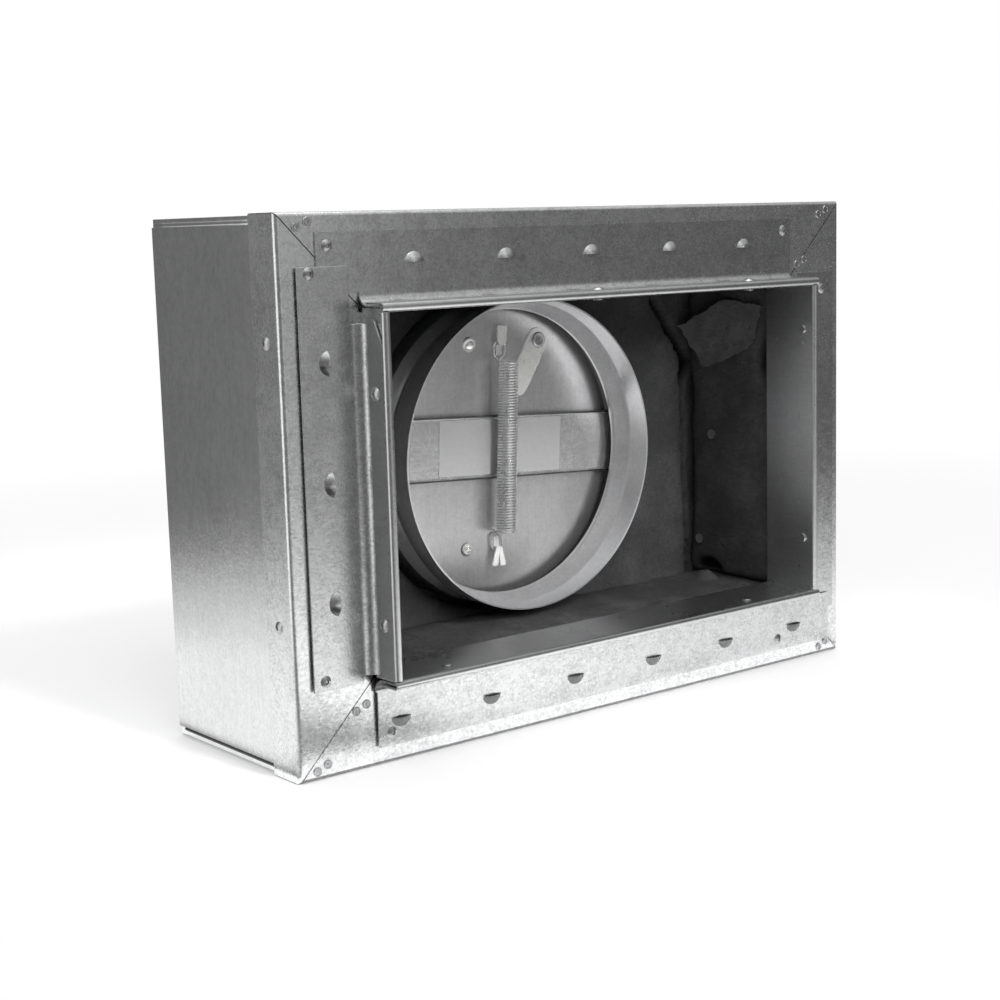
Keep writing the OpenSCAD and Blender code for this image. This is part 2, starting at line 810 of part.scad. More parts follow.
module lower_blade_rivet() {
    color(bright) damper() translate([rivet_x, blade_y, bar_rise - rivet_z]) {
        translate([0, -0.6, 0]) rivet(1.6, dome_r - 0.6, 2.2, blade_t + 0.6, 0.9);
        difference() {
            rod_y_dir(dome_r + 0.4, -0.6, 0);
            rod_y_dir(1.6, -1, 1);
        }
    }
}

// Raised clip for the end of the spring, drawn for the upper blade from the spring's middle
module clip(mid_w, end_w, split) {
    translate([-clip_w / 2, blade_y - clip_t, clip_root - 5]) cube([clip_w, clip_t, 5 + clip_t]);
    translate([-clip_w / 2, tongue_back - clip_t, clip_root]) cube([clip_w, blade_y - tongue_back + clip_t, clip_t]);
    difference() {
        through_y(tongue_back - clip_t, tongue_back) polygon([
            [-clip_w / 2, clip_root], [clip_w / 2, clip_root], [mid_w / 2, clip_root + 3],
            [end_w / 2, clip_root + tongue_l - 0.6], [end_w / 2 - 0.6, clip_root + tongue_l],
            [0.6 - end_w / 2, clip_root + tongue_l], [-end_w / 2, clip_root + tongue_l - 0.6],
            [-mid_w / 2, clip_root + 3]]);
        if (split) through_y(tongue_back - clip_t - 1, tongue_back + 1) polygon([
            [0, clip_root + 3], [0.9, clip_root + tongue_l + 1], [-0.9, clip_root + tongue_l + 1]]);
    }
}

module upper_clip() {
    color(bright) damper() translate([spring_x, 0, bar_rise]) clip(5.2, 5.8, false);
}

module lower_clip() {
    color(bright) damper() translate([spring_x, 0, bar_rise]) mirror([0, 0, 1]) clip(5, 8.6, true);
}

// Spring

spring_seg = 12;
hook_step = 20;

function unit(v) = v / norm(v);

// Racetrack loop at the end of the wire, from the middle of the spring upward
function hook_points() = [
    for (a = [40:hook_step:340])
        [-ring_r * sin(a), ring_y, ring_low + ring_r - ring_r * cos(a) + (a > 90 && a < 270 ? ring_h : 0)]];

function coil_points() = [
    for (i = [0:spring_turns * spring_seg])
        let (a = 90 + 360 * i / spring_seg)
        [coil_r * cos(a), spring_y + coil_r * sin(a), -coil_l / 2 + coil_l * i / (spring_turns * spring_seg)]];

function turned_over(list) = [for (p = reversed(list)) [-p[0], p[1], -p[2]]];

function wire_path() = concat(turned_over(hook_points()), coil_points(), hook_points());

// Directions across the wire, carried along the path without twist
function wire_tangents(p) = [
    for (i = [0:len(p) - 1]) unit(p[min(i + 1, len(p) - 1)] - p[max(i - 1, 0)])];

function wire_normals(t) = [
    for (i = 0, n = unit(cross(t[0], [0, 1, 0.2])); i < len(t);
        i = i + 1, n = i < len(t) ? unit(n - (n * t[i]) * t[i]) : n) n];

module wire_along(path, r, sides) {
    t = wire_tangents(path);
    n = wire_normals(t);
    last = len(path) - 1;
    points = [
        for (i = [0:last]) for (k = [0:sides - 1])
            path[i] + r * (cos(360 * k / sides) * n[i] + sin(360 * k / sides) * cross(t[i], n[i]))];
    faces = concat(
        [[for (k = [0:sides - 1]) k]],
        [for (i = [0:last - 1]) for (k = [0:sides - 1])
            [i * sides + k, (i + 1) * sides + k, (i + 1) * sides + (k + 1) % sides]],
        [for (i = [0:last - 1]) for (k = [0:sides - 1])
            [i * sides + k, (i + 1) * sides + (k + 1) % sides, i * sides + (k + 1) % sides]],
        [[for (k = [sides - 1:-1:0]) last * sides + k]]);
    polyhedron(points, faces, convexity = 10);
}

module spring() {
    color(bright) damper() translate([spring_x, 0, bar_rise]) wire_along(wire_path(), wire_r, 4);
}

// Fusible link

// Outline of one link plate, from its rounded end at zero downward
module link_outline(l) {
    circle(r = link_w / 2, $fn = 48);
    translate([-link_w / 2, -l + 2]) square([link_w, l - 2]);
    translate([-link_w / 2 + 2, -l]) square([link_w - 4, 3]);
    for (s = [-1, 1]) translate([s * (link_w / 2 - 2), -l + 2]) circle(r = 2, $fn = 32);
}

plate_l = link_l * 0.62 - link_w / 2;

module link_place() {
    damper() translate([link_x, 0, link_z]) rotate([0, link_lean, 0]) children();
}

module link_plate_fixed() {
    color([0.62, 0.60, 0.56]) link_place() difference() {
        through_y(link_y - link_t, link_y) link_outline(plate_l);
        rod_y_dir(1.65, link_y - 3, link_y + 1);
    }
}

module link_plate_free() {
    color([0.66, 0.64, 0.60]) link_place() difference() {
        through_y(link_y - 2 * link_t - 0.05, link_y - link_t - 0.05)
            translate([0, -link_l + link_w]) mirror([0, 1]) link_outline(plate_l);
        translate([-3, 0, -13.6]) rod_y_dir(1, link_y - 4, link_y + 1);
    }
}

module link_rivet() {
    color(dark_zinc) link_place() translate([0, link_y - link_t, 0])
        rivet(1.6, 4, 1.4, link_t + blade_t + 0.05, 0.9);
}

top_panel();
bottom_panel();
left_panel();
right_panel();
back_panel();
frame_top();
frame_bottom();
frame_left();
frame_right();
corner_clinches();
side_rivets();
rail_top();
rail_bottom();
rail_left();
rail_right();
rail_screws();
neck_top();
neck_bottom();
neck_left();
neck_right();
neck_rivets();
liner_top();
liner_bottom();
liner_left();
liner_right();
liner_back();
liner_flap();
liner_pins();
damper_sleeve();
sleeve_flange();
flange_rivets();
cross_bar();
bar_rivets();
label_plate();
hinge_rod();
upper_blade();
lower_blade();
upper_clip();
lower_clip();
upper_blade_rivet();
lower_blade_rivet();
spring();
link_plate_fixed();
link_plate_free();
link_rivet();
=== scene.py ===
"""Finish, liner, spring wire, fasteners and studio for a lined register box with a round butterfly damper."""
import json
import math

import bmesh
import bpy
import numpy as np
from bpy.props import FloatProperty, FloatVectorProperty, IntProperty, PointerProperty
from mathutils import Matrix, Vector

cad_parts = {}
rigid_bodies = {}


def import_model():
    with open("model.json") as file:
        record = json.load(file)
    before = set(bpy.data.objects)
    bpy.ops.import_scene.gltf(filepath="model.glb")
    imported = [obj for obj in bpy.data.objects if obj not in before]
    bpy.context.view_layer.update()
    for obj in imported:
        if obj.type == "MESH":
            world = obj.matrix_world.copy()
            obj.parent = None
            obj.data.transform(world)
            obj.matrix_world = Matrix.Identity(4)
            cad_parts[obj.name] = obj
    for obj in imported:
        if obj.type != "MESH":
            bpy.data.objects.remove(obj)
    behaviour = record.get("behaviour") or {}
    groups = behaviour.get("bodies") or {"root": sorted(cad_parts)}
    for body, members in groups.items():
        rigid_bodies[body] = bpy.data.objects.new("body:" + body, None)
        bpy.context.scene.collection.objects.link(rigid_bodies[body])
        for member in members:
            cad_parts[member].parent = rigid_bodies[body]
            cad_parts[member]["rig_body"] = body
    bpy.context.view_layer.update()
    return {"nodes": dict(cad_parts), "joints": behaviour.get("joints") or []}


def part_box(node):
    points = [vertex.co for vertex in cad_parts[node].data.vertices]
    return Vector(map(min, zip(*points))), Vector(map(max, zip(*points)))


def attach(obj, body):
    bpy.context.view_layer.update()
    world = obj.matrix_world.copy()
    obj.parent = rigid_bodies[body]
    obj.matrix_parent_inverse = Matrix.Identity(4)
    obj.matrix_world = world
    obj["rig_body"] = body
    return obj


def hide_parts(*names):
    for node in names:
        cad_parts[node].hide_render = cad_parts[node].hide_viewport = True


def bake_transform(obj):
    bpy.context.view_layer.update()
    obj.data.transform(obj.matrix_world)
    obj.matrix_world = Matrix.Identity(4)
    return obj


bl_info = {
    "name": "Lined register box with butterfly damper",
    "version": (1, 0, 0),
    "blender": (4, 5, 0),
    "location": "View3D > Sidebar > Register box",
    "description": "Finishes the sheet work, liner, sleeve, blades and spring of a register box and lights them",
    "category": "Object",
}

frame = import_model()
MM = 0.001

# Middle of the face, and the hinge, in the row frame
FACE_MIDDLE = np.array([0.0, -0.0665, 0.1169])
HINGE_MIDDLE = Vector(frame["joints"][0]["pos_m"])
HINGE_AXIS = Vector(frame["joints"][0]["axis"])
DAMPER_TURN = math.atan2(HINGE_AXIS.z, -HINGE_AXIS.x)
BAR_UP = Vector((math.sin(DAMPER_TURN), 0.0, math.cos(DAMPER_TURN)))
BAR_MIDDLE = HINGE_MIDDLE + BAR_UP * 0.0022

PANELS = ("top_panel", "bottom_panel", "left_panel", "right_panel", "back_panel")
FRAMES = ("frame_top", "frame_bottom", "frame_left", "frame_right")
RAILS = ("rail_top", "rail_bottom", "rail_left", "rail_right")
NECKS = ("neck_top", "neck_bottom", "neck_left", "neck_right")


# Shapes, worked out in millimetres about the middle of the face


def in_row(points, damper=False):
    """Millimetres about the middle of the face, turned about the depth axis with the damper, to row metres."""
    p = np.asarray(points, float).reshape(-1, 3)
    if damper:
        c, s = math.cos(DAMPER_TURN), math.sin(DAMPER_TURN)
        p = np.stack([p[:, 0] * c + p[:, 2] * s, p[:, 1], p[:, 2] * c - p[:, 0] * s], axis=1)
    return p * MM + FACE_MIDDLE


def grid_faces(rows, cols, wrap_rows=False, wrap_cols=False):
    """Quads of a grid whose point (i, j) has the number i * cols + j, joined round where it wraps."""
    i = np.arange(rows if wrap_rows else rows - 1)
    j = np.arange(cols if wrap_cols else cols - 1)
    i, j = np.meshgrid(i, j, indexing="ij")
    k, l = (i + 1) % rows, (j + 1) % cols
    return np.stack([i * cols + j, k * cols + j, k * cols + l, i * cols + l], axis=-1).reshape(-1, 4)


def join_points(mesh, flat_deg=0.0):
    """Joins the points that share a place, and with an angle given also the faces that lie in one plane."""
    form = bmesh.new()
    form.from_mesh(mesh)
    bmesh.ops.remove_doubles(form, verts=form.verts, dist=1e-6)
    if flat_deg:
        bmesh.ops.dissolve_limit(form, angle_limit=math.radians(flat_deg), verts=form.verts, edges=form.edges)
    form.to_mesh(mesh)
    form.free()


def mesh_piece(name, points, faces, material, body="root", smooth_deg=40, painted_shade=None):
    """A piece with its place in its mesh, smooth up to an angle, riding on a body; a share per point marks where it is
    painted nearly black as shade.
    """
    mesh = bpy.data.meshes.new(name)
    mesh.from_pydata(np.asarray(points).tolist(), [], [list(f) for f in faces])
    if painted_shade is not None:
        mesh.attributes.new("painted_shade", "FLOAT", "POINT").data.foreach_set("value", np.asarray(painted_shade, np.float32))
    join_points(mesh)
    mesh.materials.append(material)
    mesh.shade_smooth()
    mesh.set_sharp_from_angle(angle=math.radians(smooth_deg))
    piece = bpy.data.objects.new(name, mesh)
    bpy.context.scene.collection.objects.link(piece)
    if body:
        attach(piece, body)
    return piece


def revolve(profile, segments):
    """A line of (radius, height) points carried round the height axis: x = r sin a, y = height, z = r cos a.

    A point of no radius at either end is a pole, closed when its points are joined. Returns points and faces.
    """
    line = np.asarray(profile, float)
    a = np.linspace(0, 2 * math.pi, segments, endpoint=False)
    ring = np.stack(
        [line[:, :1] * np.sin(a), np.repeat(line[:, 1:], segments, axis=1), line[:, :1] * np.cos(a)], axis=-1)
    return ring.reshape(-1, 3), grid_faces(len(line), segments, wrap_cols=True)


def arc(middle, radius, from_deg, to_deg, count):
    """Points of an arc as rows of (first, second), from one angle to the other."""
    a = np.radians(np.linspace(from_deg, to_deg, count))
    return np.stack([middle[0] + radius * np.cos(a), middle[1] + radius * np.sin(a)], axis=1)


def placed(points, faces, place, outward):
    """A form drawn with its head towards -y, turned so that its head looks outward, and moved to its place."""
    turn = np.array(Vector((0, -1, 0)).rotation_difference(Vector(outward)).to_matrix())
    return points @ turn.T + place, faces


def sweep(path, radius, sides, across):
    """A round wire: circles of one radius about every point of the path, square to its direction.

    The first direction in each circle is the vector across, less its part along the path. The ends are domed.
    """
    along = np.gradient(path, axis=0)
    along /= np.linalg.norm(along, axis=1, keepdims=True)
    first = across - (across * along).sum(axis=1, keepdims=True) * along
    first /= np.linalg.norm(first, axis=1, keepdims=True)
    second = np.cross(along, first)
    a = np.linspace(0, 2 * math.pi, sides, endpoint=False)
    ring = np.cos(a)[None, :, None] * first[:, None, :] + np.sin(a)[None, :, None] * second[:, None, :]
    tube = path[:, None, :] + radius * ring
    dome = np.radians([90, 60, 30])[:, None, None]
    start = path[0] - radius * np.sin(dome) * along[0] + radius * np.cos(dome) * ring[0]
    end = path[-1] + radius * np.sin(dome[::-1]) * along[-1] + radius * np.cos(dome[::-1]) * ring[-1]
    rows = np.concatenate([start, tube, end])
    faces = grid_faces(len(rows), sides, wrap_cols=True)[:, ::-1]
    return rows.reshape(-1, 3), faces


def ease(t):
    """Smooth step from 0 to 1."""
    t = np.clip(t, 0, 1)
    return t * t * (3 - 2 * t)


def ripple(points, wavelength, seed, waves=7):
    """Smooth irregular height from -1 to 1: a sum of sine waves in seeded directions and phases."""
    rng = np.random.default_rng(seed)
    ways = rng.normal(size=(waves, 3))
    ways *= (2 * math.pi / wavelength) * rng.uniform(0.6, 1.6, (waves, 1)) / np.linalg.norm(ways, axis=1, keepdims=True)
    return np.sin(points @ ways.T + rng.uniform(0, 2 * math.pi, waves)).sum(axis=1) / math.sqrt(waves) / 1.5


def pressed(points, middle, size, shift):
    """Moves the points round a middle by a shift that fades as exp(-d^4), d being the distance over the size."""
    away = ((points - np.asarray(middle, float)) / np.asarray(size, float)) ** 2
    return points + np.exp(-away.sum(axis=1) ** 2)[:, None] * np.asarray(shift, float)


# Shader groups


class Wiring:
    """Adds nodes to a tree from left to right and links them by name."""

    def __init__(self, tree):
        self.tree = tree
        self.column = 0

    def node(self, kind, inputs=None, **settings):
        made = self.tree.nodes.new(kind)
        made.location = (self.column, 0)
        self.column += 180
        for key, value in settings.items():
            setattr(made, key, value)
        for key, value in (inputs or {}).items():
            if isinstance(value, bpy.types.NodeSocket):
                self.tree.links.new(value, made.inputs[key])
            else:
                made.inputs[key].default_value = value
        return made

    def maths(self, operation, first, second=0.5, clamp=False):
        made = self.node("ShaderNodeMath", {0: first, 1: second}, operation=operation, use_clamp=clamp)
        return made.outputs[0]

    def balance(self, *parts):
        """Sum of textures about their middle value of a half, each with its weight."""
        total = None
        for texture, weight in parts:
            part = self.maths("MULTIPLY", self.maths("SUBTRACT", texture, 0.5), weight)
            total = part if total is None else self.maths("ADD", total, part)
        return total

    def spread(self, value, low, high, to_low=0.0, to_high=1.0):
        """Maps a range of values to another, smoothly and clamped."""
        made = self.node(
            "ShaderNodeMapRange",
            {"Value": value, "From Min": low, "From Max": high, "To Min": to_low, "To Max": to_high},
            interpolation_type="SMOOTHSTEP")
        return made.outputs["Result"]

    def scaled(self, place, factors):
        made = self.node("ShaderNodeVectorMath", {0: place, 1: factors}, operation="MULTIPLY")
        return made.outputs[0]

    def noise(self, place, scale, detail=3.0, rough=0.5):
        made = self.node(
            "ShaderNodeTexNoise", {"Vector": place, "Scale": scale, "Detail": detail, "Roughness": rough})
        return made.outputs["Fac"]

    def tint(self, colour, amount):
        """A colour made lighter or darker by a factor that changes over the surface."""
        made = self.node("ShaderNodeVectorMath", {0: colour, "Scale": amount}, operation="SCALE")
        return made.outputs[0]


def new_group(name, inputs, outputs):
    """An empty shader group with its sockets, as (group, wiring, input node, output node)."""
    group = bpy.data.node_groups.new(name, "ShaderNodeTree")
    for label, kind, default in inputs:
        socket = group.interface.new_socket(label, in_out="INPUT", socket_type=kind)
        if default is not None:
            socket.default_value = default
    for label, kind in outputs:
        group.interface.new_socket(label, in_out="OUTPUT", socket_type=kind)
    wires = Wiring(group)
    entry = wires.node("NodeGroupInput")
    leave = wires.node("NodeGroupOutput")
    return group, wires, entry, leave


def spangle_group():
    """Zinc crystals: cells with their own shade and lean, fine grain, clouds and faint roll lines."""
    group, w, entry, leave = new_group(
        "zinc_spangle",
        [("Place", "NodeSocketVector", None), ("Colour", "NodeSocketColor", (0.7, 0.7, 0.7, 1)),
         ("Crystal", "NodeSocketFloat", 450.0), ("Contrast", "NodeSocketFloat", 0.25),
         ("Lean", "NodeSocketFloat", 0.08), ("Roughness", "NodeSocketFloat", 0.35),
         ("Roll lines", "NodeSocketVector", (1.0, 1.0, 0.03))],
        [("Colour", "NodeSocketColor"), ("Roughness", "NodeSocketFloat"), ("Height", "NodeSocketFloat"),
         ("Normal", "NodeSocketVector")])
    place = entry.outputs["Place"]
    warp = w.node("ShaderNodeTexNoise", {"Vector": place, "Scale": 600.0, "Detail": 2.0})
    shift = w.node("ShaderNodeVectorMath", {0: warp.outputs["Color"], "Scale": 0.0016}, operation="SCALE")
    bent = w.node("ShaderNodeVectorMath", {0: place, 1: shift.outputs[0]}, operation="ADD")
    cells = w.node("ShaderNodeTexVoronoi", {"Vector": bent.outputs[0], "Scale": entry.outputs["Crystal"]})
    channels = w.node("ShaderNodeSeparateColor", {0: cells.outputs["Color"]})
    clouds = w.noise(place, 28.0, 4.0, 0.6)
    patches = w.noise(place, 150.0, 3.0, 0.6)
    grain = w.noise(place, w.maths("MULTIPLY", entry.outputs["Crystal"], 1.3), 2.0, 0.65)
    roll = w.noise(w.scaled(place, entry.outputs["Roll lines"]), 900.0, 2.0, 0.5)
    shade = w.balance((channels.outputs[0], 0.45), (grain, 1.9), (patches, 1.2), (clouds, 1.1), (roll, 1.1))
    factor = w.maths("MINIMUM", w.maths("ADD", w.maths("MULTIPLY", shade, entry.outputs["Contrast"]), 1.0), 1.12)
    w.tree.links.new(w.tint(entry.outputs["Colour"], factor), leave.inputs["Colour"])
    uneven = w.balance((clouds, 0.3), (patches, 0.15), (channels.outputs[1], 0.08))
    uneven = w.maths("ADD", w.maths("MULTIPLY", uneven, entry.outputs["Roughness"]), entry.outputs["Roughness"])
    w.tree.links.new(uneven, leave.inputs["Roughness"])
    height = w.maths("ADD", w.maths("MULTIPLY", grain, 0.6), w.maths("MULTIPLY", roll, 0.5))
    w.tree.links.new(height, leave.inputs["Height"])
    middle = w.node("ShaderNodeVectorMath", {0: cells.outputs["Color"], 1: (0.5, 0.5, 0.5)}, operation="SUBTRACT")
    lean = w.node("ShaderNodeVectorMath", {0: middle.outputs[0], "Scale": entry.outputs["Lean"]}, operation="SCALE")
    face = w.node("ShaderNodeNewGeometry")
    both = w.node("ShaderNodeVectorMath", {0: face.outputs["Normal"], 1: lean.outputs[0]}, operation="ADD")
    unit = w.node("ShaderNodeVectorMath", {0: both.outputs[0]}, operation="NORMALIZE")
    w.tree.links.new(unit.outputs[0], leave.inputs["Normal"])
    return group


def waves_group():
    """Slow waves of thin sheet, as a height in metres, with a finer set on top."""
    group, w, entry, leave = new_group(
        "sheet_waves",
        [("Place", "NodeSocketVector", None), ("Length", "NodeSocketFloat", 18.0),
         ("Depth", "NodeSocketFloat", 0.0004)],
        [("Height", "NodeSocketFloat")])
    slow = w.noise(entry.outputs["Place"], entry.outputs["Length"], 1.0, 0.4)
    fine = w.noise(entry.outputs["Place"], w.maths("MULTIPLY", entry.outputs["Length"], 4.3), 1.0, 0.5)
    both = w.maths("ADD", slow, w.maths("MULTIPLY", fine, 0.09))
    w.tree.links.new(w.maths("MULTIPLY", both, entry.outputs["Depth"]), leave.inputs["Height"])
    return group


def dish_group():
    """Height of pressed metal that is flat up to a distance and changes by its depth in a smooth step."""
    group, w, entry, leave = new_group(
        "pressed_step",
        [("Radius", "NodeSocketFloat", 0.0), ("Flat", "NodeSocketFloat", 0.05), ("Rim", "NodeSocketFloat", 0.07),
         ("Depth", "NodeSocketFloat", 0.001)],
        [("Height", "NodeSocketFloat")])
    step = w.spread(entry.outputs["Radius"], entry.outputs["Flat"], entry.outputs["Rim"])
    w.tree.links.new(w.maths("MULTIPLY", step, entry.outputs["Depth"]), leave.inputs["Height"])
    return group


def fibre_group():
    """Coated glass fibre board: clotted fibres, pinholes and rubbed patches."""
    group, w, entry, leave = new_group(
        "fibre_coat",
        [("Place", "NodeSocketVector", None), ("Colour", "NodeSocketColor", (0.03, 0.03, 0.03, 1)),
         ("Rubbed", "NodeSocketColor", (0.12, 0.12, 0.12, 1))],
        [("Colour", "NodeSocketColor"), ("Roughness", "NodeSocketFloat"), ("Height", "NodeSocketFloat")])
    place = entry.outputs["Place"]
    strands = w.node(
        "ShaderNodeTexNoise", {"Vector": w.scaled(place, (1.0, 0.35, 1.0)), "Scale": 520.0, "Detail": 5.0,
                               "Roughness": 0.7, "Distortion": 1.2})
    clots = w.node("ShaderNodeTexVoronoi", {"Vector": place, "Scale": 210.0, "Randomness": 1.0})
    clouds = w.noise(place, 38.0, 4.0, 0.65)
    pits = w.spread(clots.outputs["Distance"], 0.05, 0.3)
    mask = w.spread(w.maths("MULTIPLY", w.maths("ADD", clouds, w.maths("MULTIPLY", strands.outputs[0], 0.6)), 0.62),
                    0.42, 0.66)
    mixed = w.node("ShaderNodeMix", {"Factor": mask, "A": entry.outputs["Colour"], "B": entry.outputs["Rubbed"]},
                   data_type="RGBA")
    colour = mixed.outputs["Result"]
    w.tree.links.new(colour, leave.inputs["Colour"])
    w.tree.links.new(w.spread(strands.outputs[0], 0.3, 0.7, 0.95, 0.72), leave.inputs["Roughness"])
    height = w.maths("ADD", w.maths("MULTIPLY", strands.outputs[0], 0.6), w.maths("MULTIPLY", pits, 0.4))
    w.tree.links.new(w.maths("ADD", height, w.maths("MULTIPLY", clouds, 1.3)), leave.inputs["Height"])
    return group


# Materials


class Finishes:
    """The shader groups and the materials, each made once."""

    def __init__(self, settings):
        self.s = settings
        self.spangle = spangle_group()
        self.waves = waves_group()
        self.fibre = fibre_group()
        self.dish = dish_group()

    def shell(self, name):
        """A new material as (material, wiring, shader, object coordinates)."""
        material = bpy.data.materials.new(name)
        material.use_nodes = True
        material.node_tree.nodes.clear()
        w = Wiring(material.node_tree)
        place = w.node("ShaderNodeTexCoord").outputs["Object"]
        shader = w.node("ShaderNodeBsdfPrincipled")
        leave = w.node("ShaderNodeOutputMaterial")
        w.tree.links.new(shader.outputs[0], leave.inputs["Surface"])
        return material, w, shader, place

    def zinc(self, name, colour, crystal=450.0, contrast=0.25, lean=0.08, roughness=0.35,
             roll=(1.0, 1.0, 0.03), wave=18.0, depth=0.0004, grain=0.0001, metal=0.98, dish=0.0, underside_shade=1.0,
             roll_edge=0.0):
        """Zinc coated sheet or wire.

        Dish is the fall of a plate's rim round the hinge; faces that look down are painted darker as shade, down to a
        share of their colour; and roll_edge is the half height of a strip whose long edges are rolled back and painted
        dark as shade.
        """
        material, w, shader, place = self.shell(name)
        skin = w.node("ShaderNodeGroup", node_tree=self.spangle)
        for key, value in {"Colour": (*colour, 1), "Crystal": crystal, "Contrast": contrast, "Lean": lean,
                           "Roughness": roughness, "Roll lines": roll}.items():
            skin.inputs[key].default_value = value
        w.tree.links.new(place, skin.inputs["Place"])
        wave_node = w.node("ShaderNodeGroup", {"Place": place, "Length": wave, "Depth": depth}, node_tree=self.waves)
        fine = w.node("ShaderNodeBump", {"Height": skin.outputs["Height"], "Distance": grain,
                                         "Normal": skin.outputs["Normal"]})
        slow = w.node("ShaderNodeBump", {"Height": wave_node.outputs["Height"], "Distance": 1.0,
                                         "Normal": fine.outputs["Normal"]})
        if dish:
            away = w.node("ShaderNodeVectorMath", {0: place, 1: HINGE_MIDDLE[:]}, operation="SUBTRACT")
            away = w.node("ShaderNodeVectorMath", {0: w.scaled(away.outputs[0], (1, 0, 1))}, operation="LENGTH")
            slow = self.step(w, slow, away.outputs["Value"], 0.056, 0.084, -dish)
        if roll_edge:
            away = w.node("ShaderNodeVectorMath", {0: place, 1: BAR_MIDDLE[:]}, operation="SUBTRACT")
            away = w.node("ShaderNodeVectorMath", {0: away.outputs[0], 1: BAR_UP[:]}, operation="DOT_PRODUCT")
            away = w.maths("ABSOLUTE", away.outputs["Value"])
            slow = self.step(w, slow, away, roll_edge - 0.0016, roll_edge + 0.0004, -0.0011)
        colour = self.blackened(w, skin.outputs["Colour"])
        # painted shade: the colour goes dark over the rolled edges of the bar
        if roll_edge:
            colour = w.tint(colour, w.spread(away, roll_edge - 0.0011, roll_edge - 0.0006, 1.0, 0.25))
        # painted shade: faces that look down are painted darker
        if underside_shade < 1.0:
            normal = w.node("ShaderNodeNewGeometry").outputs["Normal"]
            down = w.node("ShaderNodeSeparateXYZ", {0: normal}).outputs["Z"]
            colour = w.tint(colour, w.spread(down, -0.22, -0.03, underside_shade, 1.0))
        shader.inputs["Metallic"].default_value = metal
        w.tree.links.new(colour, shader.inputs["Base Color"])
        w.tree.links.new(skin.outputs["Roughness"], shader.inputs["Roughness"])
        w.tree.links.new(slow.outputs["Normal"], shader.inputs["Normal"])
        return material

    def step(self, w, below, radius, flat, rim, depth):
        """A bump on top of another one that rises in a smooth step between two distances."""
        pressed = w.node("ShaderNodeGroup", {"Radius": radius, "Flat": flat, "Rim": rim, "Depth": depth},
                         node_tree=self.dish)
        return w.node("ShaderNodeBump", {"Height": pressed.outputs["Height"], "Distance": 1.0,
                                         "Normal": below.outputs["Normal"]})

    def blackened(self, w, colour):
        """A colour that goes nearly black as painted shade where the mesh carries the mark of painted shade."""
        mark = w.node("ShaderNodeAttribute", attribute_name="painted_shade").outputs["Fac"]
        return w.tint(colour, w.spread(mark, 0.15, 0.7, 1.0, 0.06))

    def liner(self, name, colour, rubbed, depth=0.0009):
        """Black coated glass fibre."""
        material, w, shader, place = self.shell(name)
        coat = w.node("ShaderNodeGroup", node_tree=self.fibre)
        coat.inputs["Colour"].default_value = (*colour, 1)
        coat.inputs["Rubbed"].default_value = (*rubbed, 1)
        w.tree.links.new(place, coat.inputs["Place"])
        bump = w.node("ShaderNodeBump", {"Height": coat.outputs["Height"], "Distance": depth})
        w.tree.links.new(self.blackened(w, coat.outputs["Colour"]), shader.inputs["Base Color"])
        w.tree.links.new(coat.outputs["Roughness"], shader.inputs["Roughness"])
        w.tree.links.new(bump.outputs["Normal"], shader.inputs["Normal"])
        shader.inputs["Specular IOR Level"].default_value = 0.35
        return material


_made = {}


